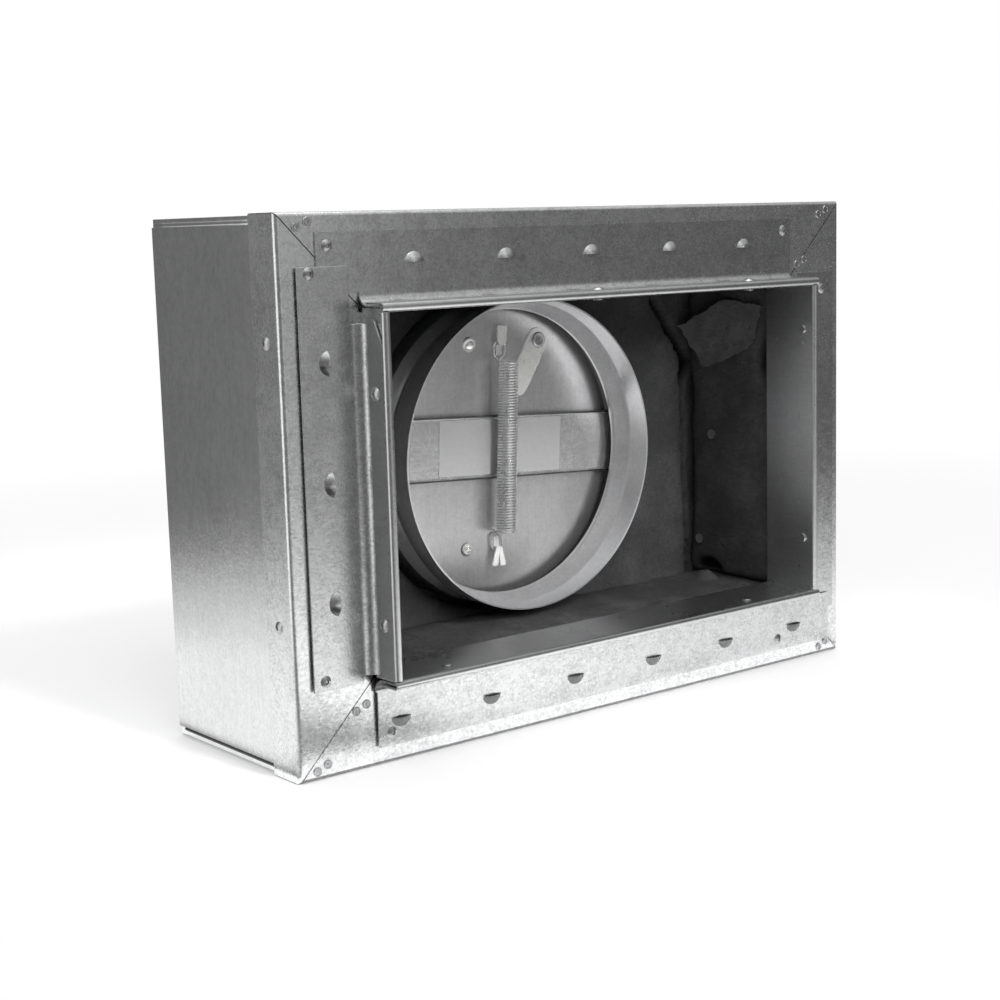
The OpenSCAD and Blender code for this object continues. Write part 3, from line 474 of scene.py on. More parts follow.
def finish(name):
    """A material by name, made on first use from the settings."""
    scene = bpy.context.scene
    if "finishes" not in _made:
        _made["finishes"] = Finishes(scene.sheet_finish)
    if name in _made:
        return _made[name]
    f = _made["finishes"]
    s, d, l = scene.sheet_finish, scene.damper_finish, scene.liner_finish
    recipes = {
        "zinc_face": lambda: f.zinc(
            name, s.zinc, s.crystal, s.contrast, s.lean, s.roughness, (0.35, 1.0, 1.0), s.wave, s.wave_depth, 0.00008,
            underside_shade=0.3),
        "zinc_rail": lambda: f.zinc(
            name, [0.8 * part for part in s.zinc], s.crystal, s.contrast, s.lean, s.roughness, (0.35, 1.0, 1.0),
            s.wave, s.wave_depth, 0.00008, underside_shade=0.3),
        # the face's zinc painted nearly black, as the shade in the groove under the lower seam folds
        "zinc_seam_painted_shade": lambda: f.zinc(
            name, [0.15 * part for part in s.zinc], s.crystal, s.contrast, s.lean, 0.4, (1.0, 0.06, 1.0)),
        "pin_metal": lambda: f.zinc(name, s.fastener, 900.0, 0.3, 0.04, 0.3, wave=90.0, depth=0.00002, metal=0.93),
        "zinc_side": lambda: f.zinc(
            name, s.zinc, s.crystal, s.contrast * 0.4, s.lean * 0.4, s.roughness - 0.06, (1.0, 1.0, 0.06), s.wave,
            s.wave_depth, 0.00008),
        # the neck's zinc painted darker than the face's, as shade inside the opening
        "zinc_neck_painted_shade": lambda: f.zinc(
            name, [0.76 * part for part in s.zinc], s.crystal, s.contrast * 0.4, s.lean * 0.3, s.roughness + 0.02,
            (1.0, 0.05, 1.0), s.wave * 1.6,
            s.wave_depth * 0.4, 0.00006),
        "zinc_fastener": lambda: f.zinc(
            name, s.fastener, 900.0, 0.3, 0.04, 0.3, wave=90.0, depth=0.00002),
        "sleeve_sheet": lambda: f.zinc(
            name, d.sleeve, s.crystal, 0.12, 0.012, d.roughness, (0.25, 1.0, 0.25), 20.0, 0.00012, 0.00003,
            0.85),
        "blade_sheet": lambda: f.zinc(
            name, d.blade, s.crystal, 0.14, 0.012, d.roughness, (1.0, 1.0, 0.05), 12.0, 0.0003, 0.00004, 0.94, d.dish),
        "bar_sheet": lambda: f.zinc(
            name, d.bar, s.crystal, 0.2, 0.012, d.roughness - 0.06, (0.04, 1.0, 1.0), 18.0, 0.00012, 0.00004, 0.9, roll_edge=0.0155),
        "spring_wire": lambda: f.zinc(
            name, d.wire, 1400.0, 0.12, 0.01, 0.28, (1, 1, 1), 200.0, 0.00001, 0.00001, 0.9),
        "link_metal": lambda: f.zinc(name, d.link, 1100.0, 0.2, 0.03, 0.36, (1, 1, 1), 120.0, 0.00006, 0.00008, 0.6),
        "clip_metal": lambda: f.zinc(name, d.link, 1100.0, 0.2, 0.03, 0.34, (1, 1, 1), 120.0, 0.00006, 0.00008, 0.45),
        "dome_metal": lambda: f.zinc(name, d.link, 1100.0, 0.15, 0.02, 0.24, (1, 1, 1), 120.0, 0.00002, 0.00002, 0.8),
        "label_film": lambda: f.zinc(
            name, d.label, 700.0, 0.07, 0.005, 0.38, (0.05, 1, 1), 60.0, 0.00004, 0.00003, 0.35),
        "fibre_liner": lambda: f.liner(name, l.colour, l.rubbed),
        "fibre_core": lambda: f.liner(name, l.core, l.rubbed, 0.0014),
    }
    _made[name] = recipes[name]()
    return _made[name]


# Settings


def distance(name, description, default, low=0.0, high=1.0):
    return FloatProperty(
        name=name, description=description, default=default, min=low, max=high, subtype="DISTANCE", unit="LENGTH",
        precision=5)


def tint(name, description, default):
    return FloatVectorProperty(
        name=name, description=description, default=default, size=3, min=0, max=1, subtype="COLOR")


class SheetFinish(bpy.types.PropertyGroup):
    zinc: tint("Zinc", "Colour of the galvanised sheet", (0.83, 0.835, 0.84))
    fastener: tint("Fasteners", "Colour of the rivets, screws and buttons", (0.54, 0.54, 0.55))
    crystal: FloatProperty(name="Crystals", description="Zinc crystals per metre", default=620.0, min=50.0)
    contrast: FloatProperty(name="Contrast", description="Shade between crystals", default=0.34, min=0.0, max=1.0)
    lean: FloatProperty(name="Lean", description="Lean of the crystals", default=0.03, min=0.0, max=0.5)
    roughness: FloatProperty(
        name="Roughness", description="Roughness of the sheet", default=0.27, min=0.0, max=1.0, subtype="FACTOR")
    wave: FloatProperty(name="Waves", description="Slow waves of the sheet per metre", default=16.0, min=1.0)
    wave_depth: distance("Wave depth", "Depth of the slow waves", 0.0004)
    edge: distance("Edge", "Roundness of the cut edges", 0.0002)
    seam_r: distance("Seam", "Radius of the seam folds along the side panels", 0.0011)
    mitre: distance("Mitre", "Half the gap of the mitres", 0.0003)


class DamperFinish(bpy.types.PropertyGroup):
    sleeve: tint("Sleeve", "Colour of the sleeve", (0.88, 0.88, 0.89))
    blade: tint("Blades", "Colour of the blades", (0.82, 0.82, 0.825))
    bar: tint("Bar", "Colour of the cross bar", (0.95, 0.95, 0.955))
    wire: tint("Wire", "Colour of the spring wire", (0.9, 0.9, 0.9))
    link: tint("Link", "Colour of the fusible link", (0.95, 0.945, 0.93))
    label: tint("Label", "Colour of the label film", (0.47, 0.47, 0.475))
    roughness: FloatProperty(
        name="Roughness", description="Roughness of the damper's sheet", default=0.32, min=0.0, max=1.0,
        subtype="FACTOR")
    dish: distance("Dish", "Fall of the blades towards their rim", 0.0009)


class SpringSizes(bpy.types.PropertyGroup):
    wire_r: distance("Wire radius", "Radius of the wire", 0.00055)
    spring_r: distance("Spring radius", "Outside radius of the coil", 0.005)
    coil_l: distance("Coil", "Length of the coil", 0.084)
    ring_r: distance("Loop radius", "Radius of the end loops along the wire", 0.0033)
    ring_low: distance("Loop start", "Start of an end loop from the middle", 0.04285)
    ring_h: distance("Loop height", "Straight sides of the end loops", 0.00238)
    side: distance("Side", "Middle of the spring from the hinge's middle", -0.0018, -0.05, 0.05)
    rise: distance("Rise", "Middle of the spring above the hinge", 0.0022)
    front: distance("Depth", "Middle of the coil behind the face", 0.0637)
    loop_depth: distance("Loop depth", "Middle of the end loops behind the face", 0.07095)
    turns: IntProperty(name="Turns", description="Turns of the coil", default=62, min=4)


class LinerFinish(bpy.types.PropertyGroup):
    colour: tint("Coat", "Colour of the coated face", (0.046, 0.046, 0.047))
    rubbed: tint("Rubbed", "Colour of the rubbed fibres", (0.08, 0.08, 0.082))
    core: tint("Core", "Colour of the torn inside", (0.13, 0.13, 0.132))
    swell: distance("Swell", "Depth of the uneven surface", 0.0016)
    edge: distance("Edge", "Roundness of the liner's edges", 0.004)
    seed: IntProperty(name="Seed", description="Seed of the uneven surface", default=11)


class StudioSetup(bpy.types.PropertyGroup):
    camera: FloatVectorProperty(
        name="Camera", description="Place of the camera", default=(-0.53955, -0.67033, 0.22611), size=3,
        subtype="TRANSLATION", unit="LENGTH")
    forward: FloatVectorProperty(
        name="Forward", description="Direction of the camera", default=(0.61618474, 0.77257933, -0.15309322), size=3)
    right: FloatVectorProperty(
        name="Right", description="Direction to the camera's right", default=(0.77885673, -0.62660631, -0.02732617),
        size=3)
    lens: FloatProperty(name="Lens", description="Focal length in millimetres", default=63.677, min=10.0)
    floor: tint("Floor", "Colour of the floor", (0.92, 0.92, 0.92))
    wall: tint("Wall", "Colour of the studio wall", (1.0, 1.0, 1.0))
    wall_r: distance("Wall distance", "Distance of the studio wall from the object", 0.5, 0.3, 5.0)
    high: FloatProperty(name="High wall", description="Added light of the upper wall", default=0.4, min=0.0)


# Bearing in degrees, from +x towards +y, grey of the studio wall there and share of white of the apron before it
WALL_GREYS = (
    (0, 0.05, 1), (90, 0.12, 1), (128, 0.13, 1), (150, 0.2, 1), (170, 1.1, 1), (190, 1.1, 1), (204, 0.2, 0.5),
    (212, 0.12, 0.2), (228, 0.13, 0.2), (236, 0.13, 1.2), (246, 0.14, 1.45), (258, 0.3, 1.5),
    (268, 0.42, 1.4), (284, 0.4, 1.4), (295, 0.15, 1.3), (303, 0.1, 1.2), (311, 0.04, 1.15), (322, 0.02, 1.1),
    (360, 0.04, 1))
BOX_HALF = (0.168, 0.09)


# Pieces


def bevelled(node, material, width, smooth_deg=30, opened=None):
    """A copy of a CAD sheet with its cut edges rounded; faces in one plane are joined first."""
    source = frame["nodes"][node]
    mesh = source.data.copy()
    mesh.name = node + "_sheet"
    join_points(mesh, 0.5)
    if opened:
        opened(mesh)
    mesh.materials.clear()
    mesh.materials.append(material)
    mesh.shade_smooth()
    mesh.set_sharp_from_angle(angle=math.radians(smooth_deg))
    piece = bpy.data.objects.new(node + "_sheet", mesh)
    bpy.context.scene.collection.objects.link(piece)
    if width:
        bevel = piece.modifiers.new("cut_edge", "BEVEL")
        bevel.width = width
        bevel.segments = 2
        bevel.limit_method = "ANGLE"
        bevel.angle_limit = math.radians(45)
        bevel.use_clamp_overlap = True
    flats = piece.modifiers.new("flat_faces", "WEIGHTED_NORMAL")
    flats.keep_sharp = True
    flats.weight = 100
    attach(piece, source["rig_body"])
    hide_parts(node)
    return piece


def open_mitres(mesh, node, gap):
    """Draws the points on the two mitre cuts of a frame piece back along the piece, so that a line shows."""
    p = np.empty(len(mesh.vertices) * 3)
    mesh.vertices.foreach_get("co", p)
    p = p.reshape(-1, 3)
    lo, hi = (np.array(corner[:]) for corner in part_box("frame_left"))
    corner = np.array([-lo[0], (hi[2] - lo[2]) / 2])
    out = np.abs(np.stack([p[:, 0], p[:, 2] - FACE_MIDDLE[2]], axis=1)) - corner
    on_cut = np.abs(out[:, 0] - out[:, 1]) < 0.00005
    axis = 0 if node in ("frame_top", "frame_bottom") else 2
    p[on_cut, axis] -= gap * np.sign(p[on_cut, axis] - FACE_MIDDLE[axis])
    mesh.vertices.foreach_set("co", p.ravel())


class REGISTER_OT_box(bpy.types.Operator):
    """Finishes the panels of the box and lays the seam folds along its sides"""

    bl_idname = "register.box"
    bl_label = "Box"

    def execute(self, context):
        s = context.scene.sheet_finish
        for node in PANELS:
            bevelled(node, finish("zinc_side"), s.edge)
        self.seam_folds(s)
        return {"FINISHED"}

    def seam_folds(self, s):
        """Round folds where the side panels lap the lid and the floor of the box, from frame to rear corner."""
        front = max(corner[1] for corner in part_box("frame_left")) + 0.0002
        for side, sign in (("left_panel", -1), ("right_panel", 1)):
            lo, hi = (np.array(corner[:]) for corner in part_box(side))
            depth = np.linspace(front, hi[1] - 0.006, 12)
            middle = (lo[0] + hi[0]) / 2
            # the lower folds are painted dark as the shade in the groove beneath them
            for end, z, radius, material in (("top", hi[2] + s.seam_r * 0.9, s.seam_r, "zinc_side"),
                                             ("bottom", lo[2] - s.seam_r * 0.5, s.seam_r * 0.8, "zinc_seam_painted_shade")):
                path = np.stack([np.full(12, middle), depth, np.full(12, z)], axis=1)
                points, faces = sweep(path, radius, 16, np.array([[sign, 0.0, 0.0]]))
                name = side.replace("_panel", "_seam_") + end
                mesh_piece(name, points, faces, finish(material), smooth_deg=60)


class REGISTER_OT_face(bpy.types.Operator):
    """Rounds the cut edges of the frame, rails and neck and opens the mitres of the frame"""

    bl_idname = "register.face"
    bl_label = "Frame, rails and neck"

    def execute(self, context):
        s = context.scene.sheet_finish
        for node in FRAMES:
            bevelled(node, finish("zinc_face"), s.edge,
                     opened=lambda mesh, node=node: open_mitres(mesh, node, s.mitre))
        for node in RAILS:
            bevelled(node, finish("zinc_rail"), s.edge * 1.7)
        for node in NECKS:
            bevelled(node, finish("zinc_neck_painted_shade"), s.edge)
        return {"FINISHED"}


class REGISTER_OT_damper(bpy.types.Operator):
    """Rounds the cut edges of the bar, the blades, the clips, the link and the label"""

    bl_idname = "register.damper"
    bl_label = "Bar, blades and link"

    def execute(self, context):
        edge = context.scene.sheet_finish.edge
        bevelled("cross_bar", finish("bar_sheet"), edge * 3)
        for node in ("upper_blade", "lower_blade"):
            bevelled(node, finish("blade_sheet"), edge * 0.7)
        for node in ("upper_clip", "lower_clip"):
            bevelled(node, finish("clip_metal"), edge * 0.7)
        for node in ("link_plate_fixed", "link_plate_free"):
            bevelled(node, finish("link_metal"), edge * 0.6)
        bevelled("label_plate", finish("label_film"), 0.00008)
        return {"FINISHED"}


def sleeve_line(radius, stop_depth=5.0, bead=1.5):
    """One wall of the sleeve as (radius, depth): straight, a pressed stop with round bends, straight, a bead."""
    rim, stop, top, end, bead_at, back = 45.5, 57.5, (65.2, 66.8), 70.5, 114.0, 153.0
    line = [(radius, rim), (radius, stop - 0.9), (radius - 0.12, stop), (radius - 0.75, stop + 1.1)]
    line += [(radius - stop_depth + 0.75, top[0] - 1.2), (radius - stop_depth + 0.12, top[0] - 0.4),
             (radius - stop_depth, top[0] + 0.3), (radius - stop_depth, top[1] - 0.3),
             (radius - stop_depth + 0.2, top[1] + 0.3), (radius - 0.5, end - 0.3), (radius, end + 0.5)]
    line += [(radius, bead_at - 0.4), (radius + 0.1, bead_at), (radius + bead - 0.2, bead_at + 1.3),
             (radius + bead, bead_at + 2.0), (radius + bead, bead_at + 2.6), (radius + bead - 0.2, bead_at + 3.3),
             (radius + 0.1, bead_at + 4.6), (radius, bead_at + 5.0), (radius, back)]
    line.insert(11, (radius, 79.0))
    line.insert(12, (radius, 80.0))
    return np.array(line)


class REGISTER_OT_sleeve(bpy.types.Operator):
    """Turns the round sleeve and rounds the cut edges of its angle ring"""

    bl_idname = "register.sleeve"
    bl_label = "Sleeve"

    def execute(self, context):
        outside, wall = 75.2, 0.8
        outer, inner = sleeve_line(outside), sleeve_line(outside - wall)
        line = np.concatenate([outer, inner[::-1]])
        points, _ = revolve(line, 256)
        faces = grid_faces(len(line), 256, wrap_rows=True, wrap_cols=True)[:, ::-1]
        # painted shade: the inner wall round the stop, behind the blades' rim, is painted nearly black as the shade in
        # the gap there
        black = (np.arange(len(line)) >= len(outer)) & (line[:, 1] > 67.0) & (line[:, 1] < 79.5)
        piece = mesh_piece("sleeve_wall", in_row(points, True), faces, finish("sleeve_sheet"), smooth_deg=30,
                           painted_shade=np.repeat(black, 256))
        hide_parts("damper_sleeve")
        bevelled("sleeve_flange", finish("sleeve_sheet"), 0.00014)
        return {"FINISHED"}


def rivet_line(head_r, head_h, grip, tail_h, dimple=0.0, shank=1.6):
    """Half profile of a whole rivet as (radius, depth), from the middle of its tail to the middle of its head.

    The head is an arc of a ball in front of depth 0. A dimple cuts it off at that radius with a stepped hollow.
    """
    end, tail = grip + tail_h, shank + 0.7
    ball = (head_r * head_r + head_h * head_h) / (2 * head_h)
    reach = math.degrees(math.asin(min(1.0, head_r / ball)))
    inner = math.degrees(math.asin(dimple / ball))
    dome = arc((0, ball - head_h), ball, reach - 90, inner - 90, 8)
    line = [(0, end), (tail - 0.25, end), (tail, end - 0.25), (tail, grip), (shank, grip), (shank, 0),
            (head_r - 0.05, 0)] + dome[:-1].tolist()
    rim = dome[-1, 1]
    if not dimple:
        return np.array(line + [(0, -head_h)])
    deep = rim + 0.7 * head_h
    line += [(dimple, rim), (dimple * 0.92, rim + 0.15), (dimple * 0.86, deep), (dimple * 0.55, deep),
             (dimple * 0.48, deep - 0.3 * head_h), (0, deep - 0.36 * head_h)]
    return np.array(line)


def flat_rivet_line(head_r, head_h, grip, tail_h, dimple=0.0, shank=1.6):
    """Half profile of a rivet with a broad flattened head that has a ring pressed in it."""
    line = rivet_line(head_r, head_h, grip, tail_h)[:7].tolist()
    share = ((1.0, 0.3), (0.96, 0.62), (0.86, 0.88), (0.72, 1.0), (0.5, 1.0), (0.44, 0.8), (0.36, 0.8), (0.3, 0.97), (0, 1.0))
    return np.array(line + [(head_r * r, -head_h * h) for r, h in share])


def button_line():
    """Half profile of a pressed button: a raised ring round a hollow with a small rise in its middle."""
    return np.array([(0, 0), (2, 0), (2, -0.32), (1.86, -0.54), (1.66, -0.6), (1.44, -0.52), (1.26, -0.2),
                     (0.7, -0.12), (0.4, -0.3), (0, -0.36)])


def loose_parts(node):
    """Middle and half size of every separate solid of a CAD node, in row metres."""
    form = bmesh.new()
    form.from_mesh(frame["nodes"][node].data)
    bmesh.ops.remove_doubles(form, verts=form.verts, dist=1e-6)
    left, found = set(form.verts), []
    while left:
        group, edge_of = set(), [left.pop()]
        while edge_of:
            vertex = edge_of.pop()
            group.add(vertex)
            near = {e.other_vert(vertex) for e in vertex.link_edges} & left
            left -= near
            edge_of += near
        spots = np.array([v.co[:] for v in group])
        found.append(((spots.min(axis=0) + spots.max(axis=0)) / 2, (spots.max(axis=0) - spots.min(axis=0)) / 2))
    form.free()
    return sorted(found, key=lambda part: tuple(part[0]))


OUTWARD = {"top": (0, 0, 1), "bottom": (0, 0, -1), "left": (-1, 0, 0), "right": (1, 0, 0), "front": (0, -1, 0),
           "back": (0, 1, 0)}
SIDE_OF = {"top": (2, 1), "bottom": (2, -1), "left": (0, -1), "right": (0, 1)}


def nearest_side(place, half):
    """The side of the face that a place is nearest to, the face's half size given."""
    rel = place - FACE_MIDDLE
    scores = {side: sign * rel[axis] / half[axis] for side, (axis, sign) in SIDE_OF.items()}
    return max(scores, key=scores.get)


# Node: profile, radius and height of its head, height of its tail, radius of its dimple, side it faces, finish
RIVETS = {
    "neck_rivets": (rivet_line, 3.0, 1.3, 0.9, 1.1, None, "zinc_fastener"),
    "rail_screws": (rivet_line, 2.6, 1.1, 0.8, 1.0, "front", "zinc_fastener"),
    "side_rivets": (rivet_line, 2.8, 1.2, 0.6, 0.9, None, "zinc_fastener"),
    "flange_rivets": (rivet_line, 2.9, 1.3, 0.5, 0.9, "back", "zinc_fastener"),
    "link_rivet": (flat_rivet_line, 4.0, 1.4, 0.9, 0.0, "front", "zinc_fastener"),
    "upper_blade_rivet": (rivet_line, 4.0, 2.4, 0.9, 0.0, "front", "dome_metal"),
    "lower_blade_rivet": (rivet_line, 3.4, 2.2, 0.9, 0.0, "front", "dome_metal"),
}


class REGISTER_OT_fasteners(bpy.types.Operator):
    """Turns the rivets, screws and pressed buttons on their places in the frame"""

    bl_idname = "register.fasteners"
    bl_label = "Fasteners"

    def turned(self, node, material, parts):
        """One piece of all the turned parts of a node, each a closed form at its place."""
        points = np.concatenate([part for part, _ in parts])
        starts = np.cumsum([0] + [len(part) for part, _ in parts[:-1]])
        faces = np.concatenate([quads + start for (_, quads), start in zip(parts, starts)])
        piece = mesh_piece(node + "_turned", points, faces, finish(material),
                           body=frame["nodes"][node]["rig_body"], smooth_deg=40)
        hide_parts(node)

    def execute(self, context):
        half = (0.1275, 1.0, 0.0765)
        for node, (profile, head_r, head_h, tail_h, dimple, facing, material) in RIVETS.items():
            parts = []
            for middle, size in loose_parts(node):
                way = np.array(OUTWARD[facing or nearest_side(middle, half)], float)
                reach = size[int(np.argmax(np.abs(way)))]
                line = profile(head_r, head_h, 2 * reach / MM - head_h - tail_h, tail_h, dimple)
                parts.append(placed(*revolve(line * MM, 28), middle + way * (reach - head_h * MM), way))
            self.turned(node, material, parts)
        buttons = []
        for middle, size in loose_parts("corner_clinches"):
            base = middle + np.array([0, size[1], 0])
            buttons.append(placed(*revolve(button_line() * MM, 28), base, OUTWARD["front"]))
        self.turned("corner_clinches", "zinc_fastener", buttons)
        return {"FINISHED"}


PLAIN_METAL = {"bar_rivets": "zinc_fastener", "hinge_rod": "zinc_fastener", "liner_pins": "pin_metal"}


class REGISTER_OT_small_metal(bpy.types.Operator):
    """Gives the small turned parts their finish"""

    bl_idname = "register.small_metal"
    bl_label = "Small metal parts"

    def execute(self, context):
        for node, material in PLAIN_METAL.items():
            bevelled(node, finish(material), 0.0, 50)
        return {"FINISHED"}


def end_loop(s):
    """Racetrack loop at the end of the wire, from beside the coil round to its foot, as x, y, z about the middle."""
    a = np.radians(np.arange(28, 341, 8.0))
    ring_r, low, straight = s.ring_r / MM, s.ring_low / MM, s.ring_h / MM
    upper = ease((a - math.radians(80)) / math.radians(20)) * (1 - ease((a - math.radians(260)) / math.radians(20)))
    return np.stack([-ring_r * np.sin(a), np.full(len(a), s.loop_depth / MM),
                     low + ring_r - ring_r * np.cos(a) + straight * upper], axis=1)


def half_spring(s, up):
    """Path of one half of the spring: half the coil, an easy bend to the end loop, and the loop.

    The coil is x = r cos a, y = front + r sin a, with z in step with a. The bend is a cubic between both ends.
    """
    coil_r, front = (s.spring_r - s.wire_r) / MM, s.front / MM
    half_turns, half_l = s.turns / 2, s.coil_l / 2 / MM
    t = np.linspace(0, 1, int(half_turns * 24) + 1)
    a = math.pi / 2 + 2 * math.pi * half_turns * (1 + t if up else 1 - t)
    z = half_l * t
    coil = np.stack([coil_r * np.cos(a), front + coil_r * np.sin(a), z if up else -z], axis=1)
    loop = end_loop(s)
    if not up:
        loop = loop * np.array([-1, 1, -1])
    p0, p1 = coil[-1], loop[0]
    d0 = coil[-1] - coil[-2]
    d1 = loop[1] - loop[0]
    reach = np.linalg.norm(p1 - p0)
    d0, d1 = d0 / np.linalg.norm(d0) * reach * 1.1, d1 / np.linalg.norm(d1) * reach * 0.9
    u = np.linspace(0, 1, 12)[1:-1, None]
    bend = ((2 * u**3 - 3 * u**2 + 1) * p0 + (u**3 - 2 * u**2 + u) * d0 + (3 * u**2 - 2 * u**3) * p1
            + (u**3 - u**2) * d1)
    path = np.concatenate([coil, bend, loop])
    share = np.concatenate([np.zeros(len(coil)), np.linspace(0, 1, len(bend)), np.ones(len(loop))])
    across = np.stack([np.zeros(len(path)), ease(share), 1 - ease(share)], axis=1)
    return path + np.array([s.side / MM, 0, s.rise / MM]), across


class REGISTER_OT_spring(bpy.types.Operator):
    """Winds the return spring in two halves, the upper and the lower"""

    bl_idname = "register.spring"
    bl_label = "Spring"

    def execute(self, context):
        s = context.scene.spring_sizes
        for name, up, blade in (("spring_upper", True, "upper_blade"), ("spring_lower", False, "lower_blade")):
            path, across = half_spring(s, up)
            points, faces = sweep(path, s.wire_r / MM, 10, across)
            piece = mesh_piece(name, in_row(points, True), faces, finish("spring_wire"), body=None, smooth_deg=60)
            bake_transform(piece)
            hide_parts("spring")
        return {"FINISHED"}


# Liner


def soft_slab(lo, hi, step, edge, swell, seed, inward):
    """A slab of glass fibre as one closed skin.

    A grid over the six sides of the box from lo to hi is rounded: each point keeps its place less the edge radius
    and stands off by that radius. Then the skin sinks by a ripple of two wavelengths, along the inward direction.
    """
    lo, hi = np.asarray(lo, float), np.asarray(hi, float)
    size = hi - lo
    count = np.maximum(2, np.ceil(size / step).astype(int))
    lines = [lo[k] + size[k] * np.linspace(0, 1, count[k] + 1) for k in range(3)]
    points, faces = [], []
    base = 0
    for k in range(3):
        u, v = (k + 1) % 3, (k + 2) % 3
        gu, gv = np.meshgrid(lines[u], lines[v], indexing="ij")
        for end in (0, 1):
            side = np.zeros(gu.shape + (3,))
            side[..., u], side[..., v], side[..., k] = gu, gv, (lo, hi)[end][k]
            quads = grid_faces(*gu.shape)
            faces.append((quads if end else quads[:, ::-1]) + base)
            points.append(side.reshape(-1, 3))
            base += gu.size
    p = np.concatenate(points)
    core = np.clip(p, lo + edge, hi - edge)
    off = p - core
    p = core + off / np.maximum(np.linalg.norm(off, axis=1, keepdims=True), 1e-9) * edge
    sink = 0.5 + 0.5 * np.clip(0.75 * ripple(p, 46.0, seed) + 0.35 * ripple(p, 13.0, seed + 1), -1, 1)
    return p + np.asarray(inward, float) * (swell * sink)[:, None], np.concatenate(faces)


